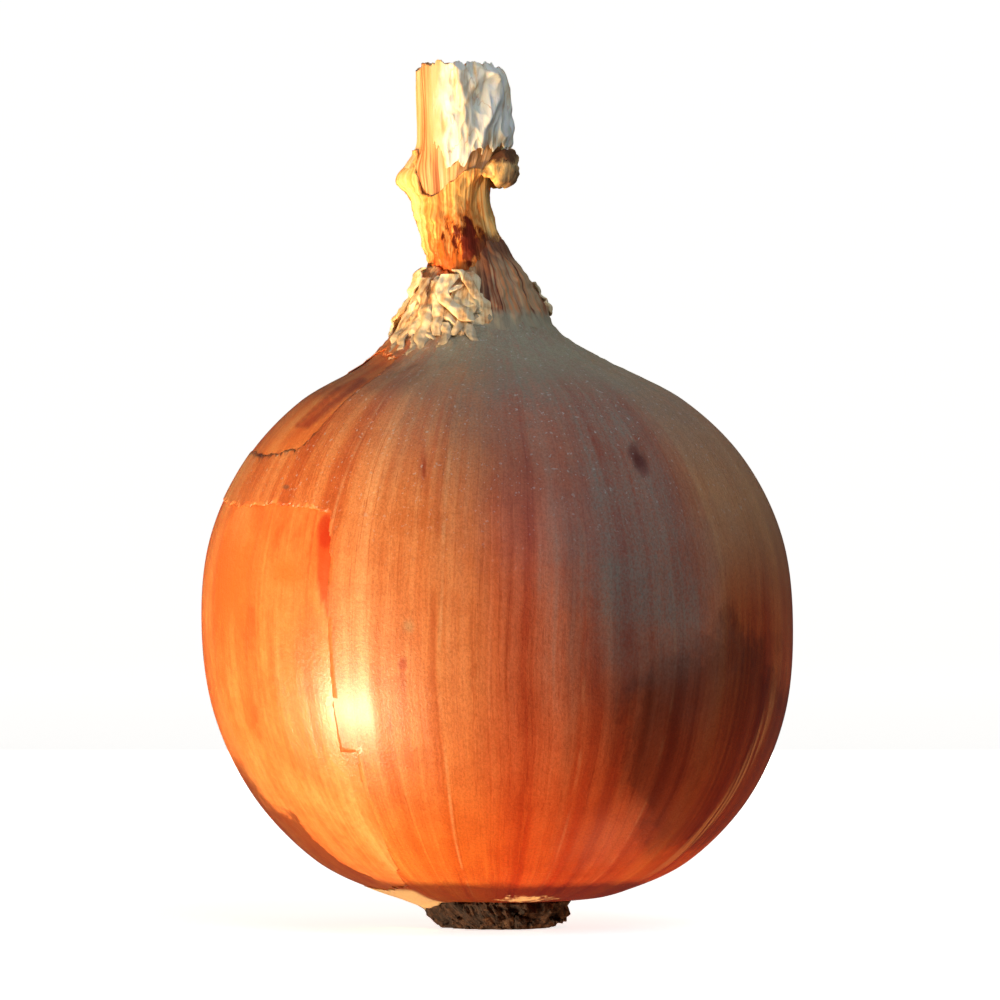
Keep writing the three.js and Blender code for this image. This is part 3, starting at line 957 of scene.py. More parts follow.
w, given, result = effect(
    "lengthwise streaks",
    [("Place", "Vector"), ("Centre", "Vector"), ("Round", "Float"), ("Along", "Float")],
    "Streak",
)
from_centre = w.vector("SUBTRACT", given["Place"], given["Centre"])
direction = w.vector("NORMALIZE", w.vector("MULTIPLY", from_centre, (1, 1, 0)))
wander = w.vector("SUBTRACT", w.noise(from_centre, 45, 2, out=1), (0.5, 0.5, 0.5))
direction = w.vector("ADD", direction, w.vector("MULTIPLY", wander, (0.06, 0.06, 0)))
spread = w.put("VectorMath", {0: direction, 3: given["Round"]}, operation="SCALE")
climb = w.times(w.put("SeparateXYZ", {0: from_centre}, 2), given["Along"])
lifted = w.vector("ADD", spread, w.put("CombineXYZ", {2: climb}))
w.feed(result, w.noise(lifted, 1.0, 4, 0.6))

w, given, result = effect("tatter", [("Place", "Vector")], "Value")
w.feed(result, w.noise(w.vector("MULTIPLY", given["Place"], (1, 1, 0.35)), 900, 4, 0.7))

w, given, result = effect(
    "spot",
    [
        ("Place", "Vector"), ("Centre", "Vector"), ("Size", "Vector"), ("Edge", "Float"),
        ("Ragged", "Float"), ("Tatter", "Float"),
    ],
    "Mask",
)
from_centre = w.vector("SUBTRACT", given["Place"], given["Centre"])
reach = w.vector("LENGTH", w.vector("DIVIDE", from_centre, given["Size"]), out=1)
tatter = w.times(w.minus(given["Tatter"], 0.5), given["Ragged"])
reach = w.plus(reach, tatter)
inner, outer = w.minus(1.0, given["Edge"]), w.plus(1.0, given["Edge"])
w.feed(result, w.minus(1.0, w.fade(reach, inner, outer)))

w, given, result = effect("dust", [("Place", "Vector"), ("Amount", "Float")], "Mask")
clouds = w.noise(given["Place"], 120, 5, 0.65)
specks = w.noise(given["Place"], 1400, 3, 0.7)
powder = w.plus(w.times(clouds, 0.65), w.times(specks, 0.35))
start = w.minus(0.85, given["Amount"])
w.feed(result, w.fade(powder, w.minus(start, 0.18), w.plus(start, 0.18)))

# Painted shadow: a dark band low round the foot that climbs higher on the left.
w, given, result = effect("painted foot shadow", [("Place", "Vector")], "Mask")
flat, deep, height = w.axes(given["Place"])
turn = w.turn(flat, deep, AXIS_SHIFT)
edge = w.noise(w.vector("MULTIPLY", given["Place"], (1, 1, 0.8)), 150, 4, 0.7)
turn = w.plus(turn, w.swing(edge, 0.8))
left = w.times(w.fade(turn, -0.92, -1.34), w.fade(turn, -2.7, -1.7))
smear = w.noise(w.vector("MULTIPLY", given["Place"], (1, 1, 0.6)), 130, 6, 0.7)
smear = w.times(w.minus(smear, 0.5), w.plus(0.002, w.times(left, 0.012)))
reach = w.plus(0.0064, w.times(left, 0.0150))
above = w.minus(w.plus(height, smear), reach)
soft = w.plus(0.0005, w.times(left, 0.0036))
w.feed(result, w.fade(above, soft, w.times(soft, -1.3)))

w, given, result = effect("paper grain", [("Place", "Vector"), ("Scale", "Float")], "Height")
fine = w.noise(given["Place"], given["Scale"], 4, 0.65)
flattened = w.vector("MULTIPLY", given["Place"], (1, 1, 0.45))
crinkle = w.noise(flattened, w.times(given["Scale"], 0.22), 3, 0.5)
w.feed(result, w.plus(w.times(fine, 0.6), w.times(crinkle, 0.4)))
print(len(bpy.data.node_groups), "shared effects")


# %% Starting a material
def finish(name, roughness, coat=0.0, soft=0.0):
    """A new material: its wiring, its shader, and the place of each point in Object coordinates."""
    made = bpy.data.materials.new(name)
    made.use_nodes = True
    shader = made.node_tree.nodes["Principled BSDF"]
    shader.inputs["Roughness"].default_value = roughness
    shader.inputs["Coat Weight"].default_value = coat
    shader.inputs["Coat Roughness"].default_value = 0.3
    shader.inputs["Subsurface Weight"].default_value = soft
    shader.inputs["Subsurface Radius"].default_value = (0.004, 0.0015, 0.0006)
    wiring = Wiring(made.node_tree)
    return made, wiring, shader, wiring.put("TexCoord", out="Object")


def wear(piece, material):
    """Give the whole piece one material."""
    piece.data.materials.clear()
    piece.data.materials.append(material)
    for face in piece.data.polygons:
        face.material_index = 0
    print(piece.name, "wears", material.name)


def streaks(w, place, round_, along, centre=(-AXIS_SHIFT, 0, 0)):
    """Streaks from root to neck: the larger round_ is, the narrower, and along breaks them up."""
    values = {"Place": place, "Centre": centre, "Round": round_, "Along": along}
    return w.use("lengthwise streaks", values)


def tatter_at(w, place):
    """What makes edges ragged at a place. All spots of a material share it, which renders faster."""
    key = place.as_pointer()
    if key not in w.tatters:
        w.tatters[key] = w.use("tatter", {"Place": place})
    return w.tatters[key]


def spot(w, place, centre, size, edge=0.4, ragged=0.3):
    """A mask round a place in millimetres, with half sizes in millimetres."""
    values = {
        "Place": place, "Centre": [c * MM for c in centre], "Size": [s * MM for s in size],
        "Edge": edge, "Ragged": ragged, "Tatter": tatter_at(w, place),
    }
    return w.use("spot", values)


def spotted(w, place, colour, spots):
    """The colour with spots over it: centre, half sizes, edge, raggedness, share and shade of each."""
    for centre, size, edge, ragged, share, shade in spots:
        mask = w.times(spot(w, place, centre, size, edge, ragged), share)
        colour = covered(w, colour, mask, shade)
    return colour


def front_at(across, height):
    """The point of the bulb's front at a distance across and a height."""
    share = np.linspace(0, 1, 400)
    radius, rise, _, _ = outline_at(share)
    here = np.interp(height, rise, radius)
    lean = eased(LEAN, np.array([float(height)]))[0]
    return across, -math.sqrt(max(here**2 - (across - lean) ** 2, 0)), height


def blend(w, first, second, share):
    """Two values blended by a fixed share."""
    return w.plus(w.times(first, 1 - share), w.times(second, share))


def tinted(w, colour, share, tint):
    """The colour multiplied by a tint, as far as a share says."""
    return w.mix(share, colour, (*tint, 1), "MULTIPLY")


def covered(w, colour, share, cover):
    """The colour with another one over it, as far as a share says."""
    return w.mix(share, colour, (*cover, 1))


def bumpy(w, shader, height, depth, normal=None):
    """Let a height between 0 and 1 stand a depth in millimetres out of the surface."""
    values = {"Height": height, "Strength": 1.0, "Distance": depth * MM}
    if normal is not None:
        values["Normal"] = normal
    raised = w.put("Bump", values)
    w.feed(shader.inputs["Normal"], raised)
    return raised


def grained(w, shader, place, scale, depth, threads, thread_depth):
    """Paper grain of a scale and threads over it, at depths in millimetres."""
    grain = w.use("paper grain", {"Place": place, "Scale": scale})
    bumpy(w, shader, threads, thread_depth, bumpy(w, shader, grain, depth))


def foot_shadowed(w, colour, place):
    """The colour with painted shadow round the onion's foot, higher on the left."""
    return tinted(w, colour, w.times(w.use("painted foot shadow", {"Place": place}), 0.88), (0.27, 0.17, 0.13))


# %% [markdown]
# ## The papery skin's finish
#
# Dry onion skin is a golden orange, silky paper. Its colour runs in soft bands of all widths from root
# to neck, with thin veins between. It turns redder towards the root, and a grey dust lies on the
# shoulder. The right side, turned from the key lamp, is painted darker and redder as shade, with a
# little painted light high on its rim, and down that side the grey is also painted sheen of the sky.
# Three widths of streaks are added up and sent through a ramp, then each of these changes is laid over
# it with a mask. An image wrapped round the onion would stretch or repeat at the back. Streaks that are
# worked out from each point's place can't.

# %% The streaks of the papery skin
skin_finish, w, shader, place = finish("papery_skin", 0.42, coat=0.3, soft=0.1)
shader.inputs["Specular IOR Level"].default_value = 0.35
across, back, height = w.axes(place)
turn = w.turn(across, back, AXIS_SHIFT)
broad = streaks(w, place, 5, 4)
bands = streaks(w, place, 13, 7)
threads = streaks(w, place, 60, 18)
hairs = streaks(w, place, 170, 40)
silk = blend(w, blend(w, broad, bands, 0.55), threads, 0.14)
colour = w.ramp(
    silk,
    (0.40, (0.56, 0.130, 0.032)), (0.46, (0.67, 0.205, 0.056)), (0.54, (0.75, 0.285, 0.094)),
    (0.61, (0.82, 0.40, 0.165)),
)
colour = tinted(w, colour, w.times(w.fade(hairs, 0.56, 0.36), 0.28), (0.80, 0.68, 0.60))
mottle = w.noise(place, 260, 4, 0.6)
colour = tinted(w, colour, w.times(w.fade(mottle, 0.56, 0.40), 0.6), (0.88, 0.76, 0.68))

# %% Painted shade and rim light on the right, and redder towards the root
# The right side, turned from the key lamp, is painted darker and redder as shade, most of all far to the
# right.
swayed = w.plus(turn, w.swing(bands, 0.35))
behind = w.fade(back, 0.0, 0.036)
way = w.put("Math", {0: swayed}, operation="SINE")
way = w.times(way, w.minus(1.0, w.times(behind, 0.7)))
painted_shade_right = w.fade(way, -0.20, 0.12)
colour = tinted(w, colour, painted_shade_right, (0.86, 0.56, 0.66))
painted_deeper_shade = w.fade(w.plus(way, w.swing(broad, 0.3)), 0.18, 0.39)
colour = tinted(w, colour, painted_deeper_shade, (0.80, 0.76, 0.74))
far_right = w.fade(way, 0.64, 0.84)
colour = tinted(w, colour, far_right, (0.92, 0.98, 0.66))
# Painted light: a warm, paler rim high on the far right.
painted_rim_light = w.times(far_right, w.fade(height, 0.038, 0.056))
colour = covered(w, colour, w.times(painted_rim_light, 0.55), (0.74, 0.42, 0.19))
colour = tinted(w, colour, w.fade(height, 0.036, 0.008), (0.90, 0.60, 0.27))

# %% Thin veins, a darker patch and the fold
strong = w.math("ABSOLUTE", w.minus(streaks(w, place, 17, 2), 0.5))
colour = tinted(w, colour, w.fade(strong, 0.010, 0.0), (0.84, 0.70, 0.62))
broken = w.fade(w.noise(place, 160, 3), 0.36, 0.60)
sway = w.plus(turn, w.swing(w.noise(place, 50, 1), 0.06))
for line, share in ((-0.185, 0.32), (0.30, 0.12), (-0.60, 0.25), (0.62, 0.15)):
    near = w.math("ABSOLUTE", w.minus(sway, line))
    pale = w.times(w.times(w.fade(near, 0.009, 0.002), share), broken)
    colour = covered(w, colour, pale, (0.86, 0.52, 0.24))
drift = w.vector("SUBTRACT", w.noise(place, 110, 3, out=1), (0.5, 0.5, 0.5))
drifted = w.vector("ADD", place, w.vector("MULTIPLY", drift, (0.012, 0.0, 0.016)))
# A darker patch low on the bulb's right front, broken up by the bands.
darker_patch = spot(w, drifted, front_at(28.0, 23.5), (14, 34, 15), 0.2, 0.5)
streaky = w.plus(0.82, w.times(w.fade(bands, 0.60, 0.40), 0.18))
darker_patch = w.times(w.times(darker_patch, streaky), 0.95)
colour = tinted(w, colour, darker_patch, (0.34, 0.27, 0.24))
edge_turn = w.plus(turn, w.times(w.minus(height, 0.022), -7.0))
fold = w.fade(w.math("ABSOLUTE", w.minus(edge_turn, 1.16)), 0.06, 0.02)
fold = w.times(fold, w.fade(threads, 0.36, 0.56))
fold = w.times(fold, w.times(w.fade(height, 0.005, 0.010), w.fade(height, 0.036, 0.026)))
colour = covered(w, colour, w.times(fold, 0.6), (0.46, 0.21, 0.08))

# %% Dust, and painted sheen on the shaded right
crown = w.times(w.fade(height, 0.052, 0.072), w.fade(way, -0.89, 0.1))
# Down the right side the grey film is dust and painted sheen of the cool sky lamp.
turned = w.plus(way, w.swing(w.noise(drifted, 130, 3), 0.28))
sheen_and_dust_right = w.times(w.fade(turned, 0.12, 0.43), w.fade(turned, 0.86, 0.56))
sheen_and_dust_right = w.times(sheen_and_dust_right, w.fade(w.put("SeparateXYZ", {0: drifted}, 2), 0.025, 0.043))
sheen_and_dust_right = w.times(sheen_and_dust_right, w.minus(0.9, w.times(behind, 0.8)))
dust_and_sheen = w.math("MAXIMUM", crown, sheen_and_dust_right)
powder = w.use("dust", {"Place": place, "Amount": 0.35})
patchy = w.plus(0.50, w.times(powder, 0.45))
patchy = w.plus(patchy, w.swing(blend(w, bands, threads, 0.5), 1.7))
patchy = w.plus(patchy, w.swing(w.noise(place, 3200, 2), 1.2))
dusty = w.put("Clamp", {0: w.times(w.times(dust_and_sheen, patchy), 0.95)})
colour = covered(w, colour, dusty, (0.290, 0.225, 0.165))
nape = w.times(w.fade(height, 0.0655, 0.0745), w.fade(way, -0.95, -0.45))
nape = w.times(nape, w.plus(0.12, w.times(patchy, 1.0)))
colour = covered(w, colour, w.put("Clamp", {0: nape}), (0.37, 0.325, 0.21))

# %% Spots, flecks and paper
SKIN_SPOTS = (
    (front_at(16.7, 60.7), (0.7, 3, 1.1), 0.6, 0.8, 0.75, (0.15, 0.032, 0.022)),
    (front_at(17.4, 59.5), (0.8, 3, 1.1), 0.6, 0.8, 0.85, (0.11, 0.016, 0.012)),
    (front_at(18.0, 58.4), (0.6, 3, 0.9), 0.7, 0.8, 0.65, (0.17, 0.040, 0.030)),
    (front_at(-12.0, 34.4), (0.5, 2, 0.9), 0.6, 0.7, 0.75, (0.46, 0.06, 0.018)),
    (front_at(-12.0, 32.2), (0.35, 2, 1.6), 0.8, 0.8, 0.45, (0.50, 0.10, 0.03)),
    (front_at(-9.6, 59.1), (0.5, 3, 3.0), 0.8, 1.2, 0.5, (0.40, 0.06, 0.02)),
    (front_at(-9.4, 58.6), (0.25, 3, 1.3), 0.6, 1.0, 0.6, (0.30, 0.035, 0.012)),
    (front_at(-11.3, 39.0), (0.6, 2, 0.7), 0.8, 1.2, 0.5, (0.40, 0.26, 0.12)),
    (front_at(-26.9, 56.3), (0.45, 2, 0.25), 0.6, 1.2, 0.8, (0.22, 0.09, 0.05)),
    (front_at(-30.4, 60.4), (0.5, 2, 0.3), 0.6, 1.2, 0.8, (0.16, 0.04, 0.02)),
)
colour = spotted(w, place, colour, SKIN_SPOTS)
flecks = w.fade(w.noise(place, 1700, 2, 0.6), 0.645, 0.70)
flecks = w.times(flecks, w.fade(height, 0.040, 0.066))
colour = covered(w, colour, w.times(flecks, 0.55), (0.62, 0.58, 0.50))
# Painted shadow round the foot.
colour = foot_shadowed(w, colour, place)
flap = w.times(w.fade(turn, -1.55, -1.35), w.fade(turn, -0.62, -0.72))
flap = w.times(flap, w.fade(height, 0.0056, 0.0050))
colour = covered(w, colour, w.times(flap, 0.8), (0.80, 0.56, 0.30))
scraps = spot(w, place, (3.0, -12.0, 4.3), (2.8, 5, 0.45), 0.3, 3.0)
colour = covered(w, colour, w.times(scraps, 0.8), (0.78, 0.52, 0.27))
weave = w.noise(w.vector("MULTIPLY", place, (1, 1, 0.7)), 3600, 3, 0.7)
colour = tinted(w, colour, w.times(w.fade(weave, 0.60, 0.34), 0.95), (0.80, 0.74, 0.70))
w.feed(shader.inputs["Base Color"], colour)
w.feed(shader.inputs["Roughness"], w.plus(0.36, w.times(dusty, 0.45)))
w.feed(shader.inputs["Coat Weight"], w.times(w.minus(1.0, dusty), 0.35))
grained(w, shader, place, 3000.0, 0.10, threads, 0.04)
wear(papery, skin_finish)
print("papery skin finished with", len(SKIN_SPOTS), "spots")

# %% [markdown]
# ## The inner skin's finish
#
# Where the paper is torn away the next skin shows. It was covered until lately, so it has no dust, a
# deeper orange and more gloss, though the same painted shadow lies round its foot. A red bar of
# painted shade runs along the edge of the window. Two rows of small spots that overlap make the dark
# streaks in the shoulder's tear.
# It shares the papery skin's groups at scales of its own, so that neither skin repeats the other.

# %% The finish of the inner skin
inner_finish, w, shader, place = finish("inner_skin", 0.3, coat=0.4, soft=0.15)
height = w.put("SeparateXYZ", {0: place}, 2)
broad = streaks(w, place, 8, 5, (0.0, 0.0004, 0))
threads = streaks(w, place, 60, 12)
mottle = w.noise(w.vector("MULTIPLY", place, (1, 1, 0.6)), 150, 4, 0.6)
silk = blend(w, blend(w, broad, mottle, 0.45), threads, 0.2)
colour = w.ramp(
    silk,
    (0.39, (0.66, 0.14, 0.028)), (0.46, (0.74, 0.20, 0.044)), (0.53, (0.80, 0.27, 0.070)),
    (0.62, (0.85, 0.38, 0.125)),
)
rows = w.fade(w.noise(w.vector("MULTIPLY", place, (1, 1, 0.5)), 300, 3), 0.58, 0.72)
colour = covered(w, colour, w.times(rows, 0.35), (0.66, 0.15, 0.022))
fine = w.noise(w.vector("MULTIPLY", place, (1, 1, 0.7)), 1300, 4, 0.75)
colour = tinted(w, colour, w.times(w.fade(fine, 0.62, 0.36), 0.6), (0.90, 0.70, 0.55))
INNER_SPOTS = (
    # The first two spots are a red bar of painted shade along the window's edge.
    (front_at(-21.5, 47.4), (1.35, 3, 6.2), 0.25, 0.5, 0.85, (0.60, 0.060, 0.008)),
    (front_at(-21.7, 50.8), (1.05, 3, 2.2), 0.3, 0.5, 0.85, (0.52, 0.035, 0.006)),
    (front_at(-34.5, 45.5), (3.4, 6, 7.0), 0.7, 0.9, 0.85, (0.70, 0.15, 0.022)),
    (front_at(-30.6, 54.9), (1.6, 4, 1.2), 0.4, 0.6, 0.85, (0.58, 0.13, 0.020)),
    (front_at(-27.0, 45.5), (2.2, 3, 1.6), 0.7, 0.8, 0.85, (0.66, 0.17, 0.028)),
)


def spot_row(start, step, size, shade, count):
    """Spots that overlap in a row on the bulb's front, from a start and a step in millimetres."""
    return [
        (front_at(start[0] + step[0] * each, start[1] + step[1] * each), size, 0.7, 0.9, 0.85, shade)
        for each in range(count)
    ]


colour = spotted(w, place, colour, (
    *INNER_SPOTS,
    *spot_row((-17.6, 69.8), (-0.75, -0.62), (0.7, 2, 0.5), (0.36, 0.05, 0.014), 10),
    *spot_row((-20.6, 68.8), (-0.7, -0.66), (0.5, 2, 0.4), (0.46, 0.08, 0.02), 8),
))
# Painted shadow round the foot.
colour = foot_shadowed(w, colour, place)
w.feed(shader.inputs["Base Color"], colour)
grained(w, shader, place, 2200.0, 0.12, threads, 0.04)
wear(bulb, inner_finish)

# %% [markdown]
# ## The finishes of the neck
#
# The neck's layers are the same tissue at different ages: tan fibres in the roll, an orange sheath with
# a dark red stain, a leaf that has bleached to cream, and leathery skin whose right side, turned from
# the key lamp, is painted dark grey-brown as shade.
# Each colour is a ramp over streaks that run along the neck, mixed with clouds where the tissue is
# crumpled. The stains are spots with very ragged edges, so that none shows a drawn outline.

# %% The finish of the rolled neck
NECK_MIDDLE = (-0.0056, 0.0005, 0)
roll_finish, w, shader, place = finish("neck_fibre", 0.55, soft=0.1)
bands = streaks(w, place, 3, 25, NECK_MIDDLE)
threads = streaks(w, place, 12, 60, NECK_MIDDLE)
colour = w.ramp(
    blend(w, bands, threads, 0.45),
    (0.39, (0.46, 0.14, 0.035)), (0.46, (0.72, 0.31, 0.10)), (0.52, (0.81, 0.45, 0.19)),
    (0.62, (0.84, 0.59, 0.34)),
)
w.feed(shader.inputs["Base Color"], colour)
grained(w, shader, place, 2200.0, 0.06, threads, 0.2)
wear(neck, roll_finish)

# %% The finish of the sheath
sheath_finish, w, shader, place = finish("sheath", 0.5, soft=0.1)
shader.inputs["Specular IOR Level"].default_value = 0.15
across, back, height = w.axes(place)
bands = streaks(w, place, 3.5, 20, (-0.0048, 0.0004, 0))
threads = streaks(w, place, 16, 50, (-0.0048, 0.0004, 0))
fibre = blend(w, bands, threads, 0.5)
colour = w.ramp(
    fibre,
    (0.40, (0.56, 0.16, 0.030)), (0.46, (0.80, 0.34, 0.075)), (0.52, (0.87, 0.48, 0.14)),
    (0.61, (0.89, 0.62, 0.27)),
)
low = w.fade(w.plus(height, w.times(fibre, 0.006)), 0.0925, 0.0865)
colour = tinted(w, colour, low, (0.9, 0.52, 0.36))
SHEATH_SPOTS = (
    ((-7.6, -4.4, 84.9), (1.3, 3, 3.2), 0.3, 3.0, 0.85, (0.56, 0.10, 0.016)),
    ((-5.4, -5.3, 84.4), (1.5, 3, 2.8), 0.3, 3.0, 0.8, (0.50, 0.10, 0.018)),
    ((-2.4, -5.2, 91.8), (1.1, 3, 4.4), 0.3, 2.6, 0.8, (0.66, 0.15, 0.016)),
    ((-1.4, -4.7, 87.4), (3.0, 4, 1.9), 0.3, 2.6, 0.92, (0.15, 0.026, 0.009)),
    ((-4.6, -5.3, 88.6), (2.8, 4.0, 4.0), 0.3, 3.2, 0.85, (0.72, 0.15, 0.012)),
    ((-4.6, -5.3, 88.5), (2.1, 3.6, 2.2), 0.3, 4.6, 0.98, (0.10, 0.007, 0.001)),
    ((-2.6, -5.0, 86.4), (1.6, 3.4, 1.6), 0.3, 3.6, 0.9, (0.13, 0.018, 0.005)),
    ((-3.9, -5.3, 86.6), (0.9, 3, 2.4), 0.3, 3.0, 0.9, (0.14, 0.014, 0.004)),
    # The last five darken the hook and the sheath's top: brown skin, deepened with painted shade.
    ((-0.6, -4.2, 98.9), (2.4, 4, 1.5), 0.3, 2.0, 0.9, (0.20, 0.075, 0.03)),
    ((1.4, -3.2, 95.0), (1.4, 4, 1.0), 0.3, 2.4, 0.85, (0.16, 0.06, 0.03)),
    ((1.6, -1.5, 97.0), (2.2, 4, 2.6), 0.3, 2.2, 0.75, (0.40, 0.27, 0.13)),
    ((2.4, -1.5, 95.6), (1.8, 4, 1.5), 0.3, 2.0, 0.75, (0.22, 0.10, 0.045)),
    ((0.2, -3.0, 98.9), (3.0, 5, 1.2), 0.3, 2.6, 0.92, (0.10, 0.036, 0.015)),
)
colour = spotted(w, place, colour, SHEATH_SPOTS)
# The sheath's lower right is painted dark grey-brown: leathery skin, darkened as painted shade.
painted_shade_leather = w.times(w.fade(height, 0.0892, 0.0868), w.fade(across, -0.0035, 0.0))
colour = covered(w, colour, w.times(painted_shade_leather, 0.8), (0.30, 0.13, 0.055))
w.feed(shader.inputs["Base Color"], colour)
grained(w, shader, place, 2400.0, 0.05, threads, 0.2)
wear(sheath, sheath_finish)

# %% The finish of the pale leaf
leaf_finish, w, shader, place = finish("pale_leaf", 0.5, soft=0.15)
threads = streaks(w, place, 9, 60, NECK_MIDDLE)
clouds = w.noise(w.vector("MULTIPLY", place, (1, 1, 0.4)), 420, 4, 0.6)
colour = w.ramp(
    blend(w, clouds, threads, 0.4),
    (0.34, (0.50, 0.28, 0.11)), (0.41, (0.74, 0.55, 0.32)), (0.48, (0.84, 0.76, 0.58)),
    (0.62, (0.88, 0.84, 0.72)),
)
across, back, height = w.axes(place)
# Thin tan lines: stains, and painted shade in small creases.
lines = w.noise(w.vector("MULTIPLY", place, (1, 1, 0.35)), 520, 2, 0.5)
lines = w.fade(w.math("ABSOLUTE", w.minus(lines, 0.5)), 0.022, 0.004)
lines = w.times(lines, w.fade(w.noise(place, 300, 2), 0.44, 0.60))
colour = covered(w, colour, w.times(lines, 0.6), (0.60, 0.36, 0.15))
side = w.plus(across, w.swing(clouds, 0.006))
tan_edge = w.times(w.fade(side, -0.0062, -0.0085), w.fade(back, 0.002, -0.002))
colour = covered(w, colour, w.times(tan_edge, 0.85), (0.76, 0.46, 0.20))
w.feed(shader.inputs["Base Color"], colour)
grained(w, shader, place, 1500.0, 0.08, threads, 0.12)
wear(leaf, leaf_finish)

# %% The finish of the collar
leather_finish, w, shader, place = finish("collar_leather", 0.6, soft=0.05)
across, back, height = w.axes(place)
turn = w.turn(across, back, 0.0032)
way = w.put("Math", {0: turn}, operation="SINE")
threads = streaks(w, place, 12, 50, (-0.0035, 0, 0))
bands = streaks(w, place, 4, 30, (-0.0035, 0, 0))
fibre = blend(w, bands, threads, 0.5)
# Two ramps over the same fibres: tan on the left, and on the right a darker one that is painted shade.
tan = w.ramp(fibre, (0.36, (0.40, 0.20, 0.08)), (0.5, (0.66, 0.40, 0.18)), (0.64, (0.76, 0.52, 0.27)))
painted_shade_leather = w.ramp(
    fibre, (0.42, (0.11, 0.025, 0.010)), (0.47, (0.36, 0.12, 0.045)), (0.52, (0.40, 0.28, 0.15)),
    (0.58, (0.62, 0.24, 0.085)),
)
colour = w.mix(w.fade(way, -0.25, 0.25), tan, painted_shade_leather)
# Much darker along the top of the cone on the right, where it closes on the neck.
dark_rim_right = w.times(w.fade(height, 0.0842, 0.0868), w.fade(way, -0.2, 0.3))
colour = covered(w, colour, w.times(dark_rim_right, 0.75), (0.13, 0.028, 0.010))
COLLAR_SPOTS = (
    ((-8.0, -6.0, 83.0), (1.2, 4, 3.6), 0.3, 3.0, 0.85, (0.58, 0.12, 0.018)),
    ((-7.0, -6.0, 82.0), (0.7, 4, 3.4), 0.3, 3.0, 0.85, (0.58, 0.12, 0.018)),
)
colour = spotted(w, place, colour, COLLAR_SPOTS)
foot = w.times(w.fade(height, 0.0805, 0.0762), w.fade(way, -0.78, 0.0))
dusty = w.use("dust", {"Place": place, "Amount": w.times(foot, 0.8)})
colour = covered(w, colour, w.times(dusty, 0.8), (0.34, 0.30, 0.19))
w.feed(shader.inputs["Base Color"], colour)
grained(w, shader, place, 1500.0, 0.12, threads, 0.15)
wear(collar, leather_finish)

# %% The finish of the shreds
shred_finish, w, shader, place = finish("shreds", 0.6, soft=0.1)
threads = streaks(w, place, 14, 60, (-0.003, 0, 0))
clouds = w.noise(place, 380, 4, 0.6)
height = w.put("SeparateXYZ", {0: place}, 2)
colour = w.ramp(
    blend(w, clouds, threads, 0.5),
    (0.38, (0.42, 0.19, 0.07)), (0.45, (0.68, 0.42, 0.19)), (0.51, (0.80, 0.60, 0.33)),
    (0.62, (0.86, 0.72, 0.47)),
)
dusty = w.use("dust", {"Place": place, "Amount": w.times(w.fade(height, 0.0795, 0.0745), 0.46)})
colour = covered(w, colour, w.times(dusty, 0.75), (0.34, 0.26, 0.17))
w.feed(shader.inputs["Base Color"], colour)
grained(w, shader, place, 1800.0, 0.08, threads, 0.12)
wear(shreds, shred_finish)

# %% [markdown]
# ## The root plate's finish
#
# The root plate is dry, dark and crumbly, like bark with soil in it. One noise makes clumps and a finer
# one crumbs. The same two are its colour and its bump, so what stands out is also what is pale.

# %% The finish of the root plate
root_finish, w, shader, place = finish("root", 0.85)
clumps = w.noise(place, 500, 6, 0.7)
crumbs = w.noise(place, 1900, 4, 0.7)
colour = w.ramp(
    blend(w, clumps, crumbs, 0.5),
    (0.38, (0.006, 0.003, 0.002)), (0.48, (0.020, 0.008, 0.004)), (0.56, (0.055, 0.022, 0.010)),
    (0.66, (0.12, 0.058, 0.026)),
)
dusty = w.use("dust", {"Place": place, "Amount": 0.2})
colour = covered(w, colour, w.times(dusty, 0.3), (0.14, 0.10, 0.07))
w.feed(shader.inputs["Base Color"], colour)
bumpy(w, shader, blend(w, clumps, crumbs, 0.6), 0.6)
wear(plate, root_finish)
print(len(bpy.data.materials), "finishes")

# %% [markdown]
# ## Camera, floor and lights
#
# The camera looks at the onion from the side, level with its middle, through a long lens, as the
# photograph does. The floor is a wide round sheet whose rim turns up into a wall, so that it is pale
# on every side. It can be seen through from below, so the underside can be looked at too.
# The photograph was taken in low evening sun. The key lamp is warm, small and strong, and stands on
# the left, even a little below the floor, which casts no shadow. A narrow beam beside it catches the
# neck. A wide cool lamp, high on the right, is the sky. A small warm one under the bulb is the light
# that the ground throws back. A lamp overhead keeps the floor pale and one behind lights the back.

# %% Camera
PHOTO_SIDE = 1000
PIXEL = 0.128
STAND_LINE = 927
LENS, SENSOR = 300, 36
view_height = (STAND_LINE - PHOTO_SIDE / 2) * PIXEL * MM
view_distance = PHOTO_SIDE * PIXEL * MM * LENS / SENSOR
bpy.ops.object.camera_add(location=(0, -view_distance, view_height), rotation=(math.pi / 2, 0, 0))
camera = bpy.context.object
camera.data.lens = LENS
camera.data.sensor_width = SENSOR
bpy.context.scene.camera = camera
print("camera", round(view_distance, 3), "m in front,", round(view_height, 4), "m up")

# %% The floor
FLOOR_FLAT, FLOOR_BEND, FLOOR_LENGTH = 1.9, 0.6, 5


def sweep(across, along):
    """A round floor whose rim turns up into a wall all round, in metres."""
    run = along * FLOOR_LENGTH
    turn = np.clip((run - FLOOR_FLAT) / FLOOR_BEND, 0, math.pi / 2)
    radius = np.where(run < FLOOR_FLAT, run, FLOOR_FLAT + FLOOR_BEND * np.sin(turn))
    wall = np.clip(run - FLOOR_FLAT - FLOOR_BEND * math.pi / 2, 0, None)
    rise = FLOOR_BEND * (1 - np.cos(turn)) + wall
    around = 2 * math.pi * across
    return np.stack([radius * np.sin(around), -radius * np.cos(around), rise], axis=-1)


